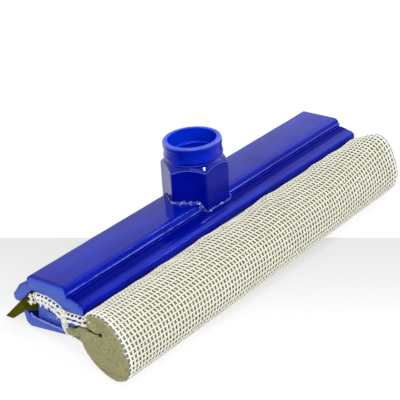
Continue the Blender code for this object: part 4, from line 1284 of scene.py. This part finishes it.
def net_line():
    """Middle line of the net's section: up behind the core, over it, round the roll, and back."""
    back_lean = (CORE_BACK_FOOT - CORE_BACK_TOP) / (CORE_FOOT - CORE_TOP)
    tail = (CORE_BACK_TOP + back_lean * (NET_TAIL_DROP - CORE_TOP), -NET_TAIL_DROP)
    over_core = parallel([tail, *core_top_line()[::-1]], -NET_OFFSET)
    under_flange = [
        roof_line()[1],
        roof_line()[0],
        (-RIB_FORWARD - RIB_HALF_WIDTH, -RIB_DROP),
        (-FLANGE_REACH, -FLANGE_UNDERSIDE),
        (-FLANGE_REACH, -FLANGE_DROP),
    ]
    neck_line = [
        (ROLL_CENTRE.x, neck_underside(ROLL_CENTRE.x)),
        (-NECK_END, neck_underside(-NECK_END)),
        (-NECK_END, -RIB_DROP),
    ]
    under_neck = parallel(neck_line, -NET_OFFSET)
    mouth = Vector((-MOUTH_FORWARD + NET_OFFSET, 0))
    start = roll_crossings(mouth, Vector((1, 0)))[1]
    notch = roll_crossings(under_neck[0], Vector((-NECK_SLOPE, 1)).normalized())[0] + 2 * math.pi
    wrap = []
    for step in range(73):
        angle = start + (notch - math.radians(5) - start) * step / 72
        wrap.append(roll_point(angle, NET_OFFSET))
    first = over_core[:-1] + parallel(under_flange, NET_OFFSET)[:-1] + wrap[:1]
    last = [wrap[-1], roll_point(notch, NET_OFFSET), *under_neck[1:]]
    bent = [rounded([(*place, 0.0010) for place in line], closed=False) for line in (first, last)]
    return bent[0][:-1] + wrap + bent[1][1:], len(bent[0]) - 1


def neck_underside(y):
    """Height of the neck's underside at a signed distance from the middle."""
    return -NECK_TOP - NECK_THICKNESS + NECK_SLOPE * (y + PLATE_FRONT)


def roll_point(angle, skin):
    """Point of the roll's oval at an angle from its short axis."""
    across = (ROLL_SHORT_RADIUS + skin) * math.cos(angle)
    along = (ROLL_LONG_RADIUS + skin) * math.sin(angle)
    return ROLL_CENTRE + ROLL_SHORT_AXIS * across + ROLL_LONG_AXIS * along


def roll_crossings(point, normal, skin=NET_OFFSET):
    """Angles at which the roll's oval, grown by a skin, crosses the line through a point."""
    short = (ROLL_SHORT_RADIUS + skin) * ROLL_SHORT_AXIS.dot(normal)
    long = (ROLL_LONG_RADIUS + skin) * ROLL_LONG_AXIS.dot(normal)
    swing = math.acos((point - ROLL_CENTRE).dot(normal) / math.hypot(short, long))
    middle = math.atan2(long, short)
    return middle - swing, middle + swing


class NetSheet:
    """The net: its cloth's places, (x along the bar, s along the section), and its yarns' mesh."""

    def __init__(self):
        line, mouth = net_line()
        self.line = np.array([tuple(place) for place in line])
        runs = np.diff(self.line, axis=0)
        self.along = np.concatenate([[0], np.cumsum(np.linalg.norm(runs, axis=1))])
        self.length = self.along[-1]
        self.mouth = self.along[mouth]
        self.neck_corner = self.length - (NECK_THICKNESS + NECK_TOP - RIB_DROP)
        straight = runs / np.linalg.norm(runs, axis=1)[:, None]
        self.middle = (self.along[1:] + self.along[:-1]) / 2
        self.square = np.stack([straight[:, 1], -straight[:, 0]], 1)
        self.verts = []
        self.faces = []
        self.count = 0

    def section(self, s):
        """(y, z) places and outward normals of the section line."""
        y, z = (np.interp(s, self.along, part) for part in self.line.T)
        across, up = (np.interp(s, self.middle, part) for part in self.square.T)
        size = np.maximum(np.hypot(across, up), 1e-6)
        return y, z, across / size, up / size

    def overhang(self, s):
        """How far the cloth hangs past its fold at the ends, by place along the section."""
        stops = [0, 0.0050, 0.0062, 0.0085, 0.0188, 0.0220, 0.0262, 0.0325, self.mouth, self.mouth + 0.0015]
        lengths = [0.0021, 0.0021, 0.0008, 0.0044, 0.0044, 0.0038, 0.0008, 0.0014, 0.0044, 0]
        return np.interp(s, stops, lengths)

    def lay(self, x, s, rise=0.0):
        """3D places of the cloth, drawn askew on the roll, puffed and folded over at the ends."""
        share = np.clip(np.abs(x) / FOLD_HALF, 0, 1)
        round_roll = s - self.mouth
        pull = np.where(round_roll < 0.026, 0.0042, 0.0012)
        swing = np.cos(np.clip((round_roll - 0.026) / 0.022, -1, 1) * np.pi) - 1
        askew = pull * swing * (1 - share**3) * np.clip(round_roll / 0.006, 0, 1)
        climb = 0.12 * np.maximum(x - 0.050, 0) * np.clip(round_roll / 0.02, 0, 1)
        gather = 0.0028 * bell(x, 0.018, 0.009) * bell(round_roll, 0.006, 0.008)
        jitter_x = 0.00007 * np.sin(s * 2100 + x * 700) + 0.00005 * np.sin(s * 3300 - x * 2900)
        jitter_s = 0.00007 * np.sin(x * 1900 + s * 1300) + 0.00005 * np.sin(x * 3700 - s * 900)
        laid_x = x + askew + jitter_x
        laid_s = np.clip(s - climb - gather + jitter_s, 0, self.length)
        y, z, across, up = self.section(laid_s)
        puff = roll_puff(laid_x, roll_angle(y, z)) * np.clip(round_roll / 0.002 + 1.4, 0, 1)
        laid_x = laid_x + far_stretch(laid_x) * np.clip(round_roll / 0.004, 0, 1)
        hang = np.maximum(np.abs(x) - FOLD_HALF, 0)
        turn = np.clip(hang / FOLD_REACH, 0, 1) * np.pi / 2
        fall = np.maximum(hang - 0.3 * FOLD_REACH, 0)
        outwards = (FOLD_REACH + rise) * np.sin(turn) + 0.0002 * np.sin(s * 1500 + x * 900)
        laid_x = np.where(hang > 0, np.sign(x) * (FOLD_HALF + outwards), laid_x)
        out = puff + rise * np.cos(turn)
        curl = np.where(s < 0.0055, -1, 1)
        y = y + across * (out - fall * curl)
        z = z + up * (out - fall * curl)
        return np.stack([laid_x, y, z], -1)


    def axes(self, x, s):
        """Unit vectors of the cloth: along the bar, along the section, and out of the cloth."""
        step = 0.0001
        across = unit(self.lay(x + step, s) - self.lay(x - step, s))
        along = unit(self.lay(x, s + step) - self.lay(x, s - step))
        return across, along, unit(np.cross(along, across))

    def add_yarn(self, centres, side, up, half_width, half_depth):
        """Add one yarn to the mesh, as a tube of flattened section."""
        angles = 2 * np.pi * np.arange(YARN_SIDES) / YARN_SIDES
        across = np.cos(angles)[:, None] * side[:, None] * half_width[:, None, None]
        upright = np.sin(angles)[:, None] * up[:, None] * half_depth
        self.verts.append((centres[:, None] + across + upright).reshape(-1, 3))
        index = self.count + np.arange(len(centres) * YARN_SIDES).reshape(-1, YARN_SIDES)
        near, far = index[:-1], index[1:]
        quads = np.stack([near, np.roll(near, -1, 1), np.roll(far, -1, 1), far], -1)
        self.faces += [*quads.reshape(-1, 4).tolist(), index[0, ::-1].tolist(), index[-1].tolist()]
        self.count += index.size


def unit(vectors):
    """Vectors scaled to a length of 1."""
    return vectors / np.maximum(np.linalg.norm(vectors, axis=-1), 1e-9)[..., None]


def clamped_swell(x, s):
    """How much thicker a yarn is where the clamp squeezes the net out at the bar's ends."""
    outside = np.clip((np.abs(x) - BAR_HALF + 0.0012) / 0.0010, 0, 1)
    return 1 + CLAMPED_SWELL * outside * (s < CLAMPED_RUN)


def wale_span(net, x):
    """Stretch of the section over which a wale runs: cut back at the ends and the tongue."""
    past = abs(x) - FOLD_HALF
    if past > 0:
        s = np.linspace(0, net.length, 600)
        kept = s[net.overhang(s) > past]
        return (kept[0], kept[-1]) if len(kept) else None
    return 0.0, net.length - (0 if abs(x) > TAIL_START else TAIL_LENGTH)


def add_wale(net, x):
    """One looped yarn round the section."""
    span = wale_span(net, x)
    if not span:
        return
    s = np.linspace(*span, max(2, int((span[1] - span[0]) / COURSE_PITCH * WALE_STEPS)))
    xs = np.full_like(s, x)
    wave = np.cos(2 * np.pi * s / COURSE_PITCH)
    across, along, up = net.axes(xs, s)
    thick = (1 + 0.12 * np.sin(x * 5200 + s * 1700) + 0.12 * wave) * clamped_swell(xs, s)
    net.add_yarn(net.lay(xs, s, 0.00004 * wave), across, up, WALE_HALF_WIDTH * thick, WALE_HALF_DEPTH)


def add_course(net, s_row, low, high):
    """One laid-in yarn along the bar, dipping a little between the wales."""
    x = np.linspace(low, high, max(3, int(abs(high - low) / WALE_PITCH * COURSE_STEPS)))
    s = np.full_like(x, s_row)
    dip = np.cos(2 * np.pi * x / WALE_PITCH)
    across, along, up = net.axes(x, s)
    thick = (1 + 0.12 * np.sin(s_row * 7100 + x * 1900) + 0.14 * dip) * clamped_swell(x, s)
    centres = net.lay(x, s, COURSE_RISE + 0.00006 * dip)
    net.add_yarn(centres, along, up, COURSE_HALF_WIDTH * thick, COURSE_HALF_DEPTH)


def make_net():
    """Knitted netting: looped wales round the roll, with laid-in courses along the bar."""
    net = NetSheet()
    random.seed(5)
    columns = int(2 * FOLD_HALF / WALE_PITCH)
    hanging = int(HANGING_LENGTH / WALE_PITCH) + 1
    for column in range(-hanging, columns + 1 + hanging):
        add_wale(net, -columns * WALE_PITCH / 2 + column * WALE_PITCH)
    for row in range(int(net.length / COURSE_PITCH)):
        s_row = (row + 0.5) * COURSE_PITCH
        if s_row > net.length - TAIL_LENGTH:
            for way in (-1, 1):
                add_course(net, s_row, way * TAIL_START, way * (NET_HALF + 0.0003))
        else:
            reach = FOLD_HALF + float(net.overhang(s_row))
            left, right = (0.0006 * random.random() + 0.0002 for _ in range(2))
            add_course(net, s_row, -reach - left, reach + right)
    mesh = bpy.data.meshes.new("netting")
    mesh.from_pydata(np.concatenate(net.verts).tolist(), [], net.faces)
    piece = add_piece("netting", mesh, (yarn,), None)
    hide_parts("net_sleeve")


def strip_line(shares, out):
    """Places on the hanging strip between its two edges, by (across, down) shares."""
    line = []
    for across, down in shares:
        part = min(int(down * 2), 1)
        near, far = (edge[part].lerp(edge[part + 1], down * 2 - part) for edge in STRIP_EDGES)
        line.append(Vector((out + 0.0002 * math.sin(down * 9 + across * 4), *near.lerp(far, across))))
    return line


def make_loose_ends():
    """Strip of netting that hangs over each end beside the core, and loose threads."""
    shape = bmesh.new()
    for way in (-1, 1):
        out = way * (NET_HALF - 0.0001)
        for share in (0.0, 0.5, 1.0):
            radii = [STRIP_YARN + 0.00010 * math.cos(step * 2.1) for step in range(19)]
            tube(shape, strip_line([(share, step / 18) for step in range(19)], out), radii)
        for row in range(6):
            radii = [CROSS_YARN + 0.00006 * math.cos(step * 3.0) for step in range(7)]
            tube(shape, strip_line([(step / 5 - 0.1, row / 5) for step in range(7)], out), radii)
        for thread in THREADS:
            line = [Vector((out + way * 0.0003 * math.sin(y * 2000), y, z)) for y, z in thread]
            tube(shape, line, [0.00026, *[0.00020] * (len(line) - 2), 0.00012], 7)
    add_piece("netting_loose_ends", shape, (yarn,), None)


# Camera, floor and light

def camera_matrix():
    """The fitted camera, in the row frame."""
    turn = Euler((math.pi / 2 - CAMERA_ELEVATION, 0, CAMERA_AZIMUTH)).to_matrix().to_4x4()
    return HEAD @ Matrix.Translation(CAMERA_PLACE) @ turn @ Matrix.Rotation(CAMERA_ROLL, 4, "Z")


def make_camera():
    """Camera at the photograph's viewpoint."""
    data = bpy.data.cameras.new("camera")
    data.sensor_width = 36
    data.lens = FOCAL_PX / FRAME_PX * 36
    data.clip_start = 0.01
    camera = put("camera", data)
    camera.matrix_world = camera_matrix()
    bpy.context.scene.camera = camera


def floor_point(column, row):
    """Place on the floor seen at a pixel of the photograph."""
    matrix = camera_matrix()
    ray = matrix.to_3x3() @ Vector((column - FRAME_PX / 2, FRAME_PX / 2 - row, -FOCAL_PX))
    eye = matrix.translation
    return eye - ray * eye.z / ray.z


def ray_mask(tree, *kinds):
    """1 for rays of the given kinds, and 0 for all others."""
    path = node(tree, "LightPath", {})
    mask = path.outputs[kinds[0]]
    for kind in kinds[1:]:
        mask = math_of(tree, "MAXIMUM", mask, path.outputs[kind])
    return mask


def floor_material():
    """Pale floor: the photograph's grey fading to white, shaded by the object's soft shadow."""
    left, right = (floor_point(column, FLOOR_EDGE_ROW) for column in (0, FRAME_PX))
    faded = floor_point(FRAME_PX / 2, FLOOR_FADE_ROW)
    run = (right - left).normalized()
    towards = Vector((run.y, -run.x, 0))
    if (faded - left).dot(towards) < 0:
        towards.negate()
    material, tree, shader = new_material("floor_pale")
    spot = node(tree, "NewGeometry", {}).outputs["Position"]
    distance = distance_along(tree, spot, left, towards)
    share = remap(tree, distance, 0, (faded - left).dot(towards))
    grey = remap(tree, math_of(tree, "POWER", share, 1.5), 0, 1, FLOOR_GREY, 1.0)
    level = math_of(tree, "MAXIMUM", grey, math_of(tree, "LESS_THAN", distance))
    tone = node(tree, "CombineColor", {0: level, 1: level, 2: level}).outputs[0]
    feed(shader, {"Base Color": (0.17, 0.17, 0.17, 1), "Roughness": 0.9, "Specular IOR Level": 0.0})
    glow = node(tree, "Emission", {"Color": tone, "Strength": FLOOR_GLOW})
    lit = node(tree, "AddShader", {0: shader.outputs[0], 1: glow.outputs[0]})
    bounce = node(tree, "BsdfDiffuse", {"Color": (0.86, 0.86, 0.87, 1)})
    seen = ray_mask(tree, "Is Camera Ray", "Is Glossy Ray")
    mix = node(tree, "MixShader", {0: seen, 1: bounce.outputs[0], 2: lit.outputs[0]})
    feed(tree.nodes["Material Output"], {"Surface": mix.outputs[0]})
    return material


def make_floor():
    """Wide round floor under the head."""
    shape = bmesh.new()
    bmesh.ops.create_circle(shape, cap_ends=True, segments=96, radius=3.0)
    mesh = bpy.data.meshes.new("floor")
    shape.to_mesh(mesh)
    shape.free()
    mesh.materials.append(floor_material())
    put("floor", mesh)


def make_world():
    """White surroundings to the eye and in reflections, and a softer grey as light."""
    world = bpy.data.worlds.new("studio")
    world.use_nodes = True
    bpy.context.scene.world = world
    tree = world.node_tree
    white = tree.nodes["Background"]
    feed(white, {"Color": (1, 1, 1, 1), "Strength": 1.0})
    soft = node(tree, "Background", {"Color": (0.96, 0.98, 1.0, 1), "Strength": 0.55})
    seen = ray_mask(tree, "Is Camera Ray", "Is Glossy Ray", "Is Transmission Ray")
    mix = node(tree, "MixShader", {0: seen, 1: soft.outputs[0], 2: white.outputs[0]})
    feed(tree.nodes["World Output"], {"Surface": mix.outputs[0]})


def make_lamps():
    """Square lamps aimed at the middle of the head: a key, a fill, a side box and small sparks."""
    for name, place, size, power in LAMPS:
        data = bpy.data.lights.new(name, "AREA")
        data.size = size
        data.energy = power
        lamp = put(name, data)
        lamp.location = place
        lamp.rotation_euler = (LAMP_TARGET - Vector(place)).to_track_quat("-Z", "Y").to_euler()


MOULDED = (0.0005, 0.0040, 0.25), (0.0010, 0.010, 0.36)
plastic = plastic_material("blue_plastic_moulded", 0.0, *MOULDED)
ledge_plastic = plastic_material("blue_plastic_ledge", 0.0, *MOULDED)
# Paler copy of the blue plastic for the bore: painted light.
bore_lit_plastic = plastic_material("blue_plastic_bore_painted_light", 0.2, (0.0010, 0.024, 0.60), (0.0020, 0.040, 0.74), 0.14)
# Paler copy of the blue plastic for the collar: painted light.
collar_lit_plastic = plastic_material(
    "blue_plastic_collar_painted_light", 0.0, (0.0007, 0.007, 0.33), (0.0022, 0.017, 0.49), 0.14
)
# Pale copy of the blue plastic: painted highlight on the collar's rim, the hexagon's sloped edges and the
# clamp tongue.
highlight_plastic = plastic_material("blue_plastic_painted_highlight", 0.3, (0.055, 0.098, 0.50), (0.082, 0.142, 0.64), 0.10)
# Darker copy of the blue plastic for the hexagon: painted shade.
hexagon_shaded_plastic = plastic_material("blue_plastic_hexagon_painted_shade", 0.0, (0.0003, 0.0012, 0.22), (0.0006, 0.005, 0.32))
# Darker copy for the cone, with a coat for its glints: painted shade.
cone_shaded_plastic = plastic_material("blue_plastic_cone_painted_shade", 0.28, (0.0004, 0.003, 0.23), (0.0008, 0.007, 0.33), 0.04)
# Pale copy of the blue plastic for the flash rim: painted highlight.
flash_highlight_plastic = plastic_material(
    "blue_plastic_flash_painted_highlight", 0.8, (0.10, 0.15, 0.56), (0.24, 0.30, 0.72), 0.04, (0.20, 0.26, 0.68)
)
welded_plastic = plastic_material(
    "blue_plastic_welded", 1.0, (0.0010, 0.006, 0.25), (0.0040, 0.022, 0.42), 0.05
)
# Painted shade in the bar's hollow, darkening towards this colour.
paint_hollow_shade(plastic, (0.0004, 0.0012, 0.17))
# Painted highlight on the ledge, in this pale colour.
paint_ledge_highlight(ledge_plastic, (0.055, 0.090, 0.54))
# Painted glints on the weld's crests, in this pale colour.
paint_crest_glints(welded_plastic, (0.40, 0.48, 0.80))
rubber = rubber_material(
    "blade_rubber_olive",
    ((0.060, 0.061, 0.0008), (0.104, 0.102, 0.0015)),
    ((0.052, 0.051, 0.001), (0.112, 0.102, 0.003)),
)
# Darker copy of the rubber: painted shade.
shaded_rubber = rubber_material(
    "blade_rubber_painted_shade",
    ((0.022, 0.022, 0.0004), (0.040, 0.040, 0.0008)),
    ((0.014, 0.014, 0.0004), (0.034, 0.033, 0.001)),
)
foam = foam_material("sponge_foam_khaki", 1.0)
# Darker copy of the foam for the slit: painted shade.
slit_shaded_foam = foam_material("sponge_foam_slit_painted_shade", 0.3)
yarn = yarn_material()
zinc = zinc_material()

make_bar()
make_socket()
make_weld()
make_clamp()
make_flash()
make_blade()
make_sponge()
make_net()
make_loose_ends()
for name, item in frame["nodes"].items():
    if name.startswith("clamp_screw"):
        item.material_slots[0].material = zinc

make_floor()
make_world()
make_lamps()
make_camera()
bpy.context.scene.view_settings.view_transform = "Standard"
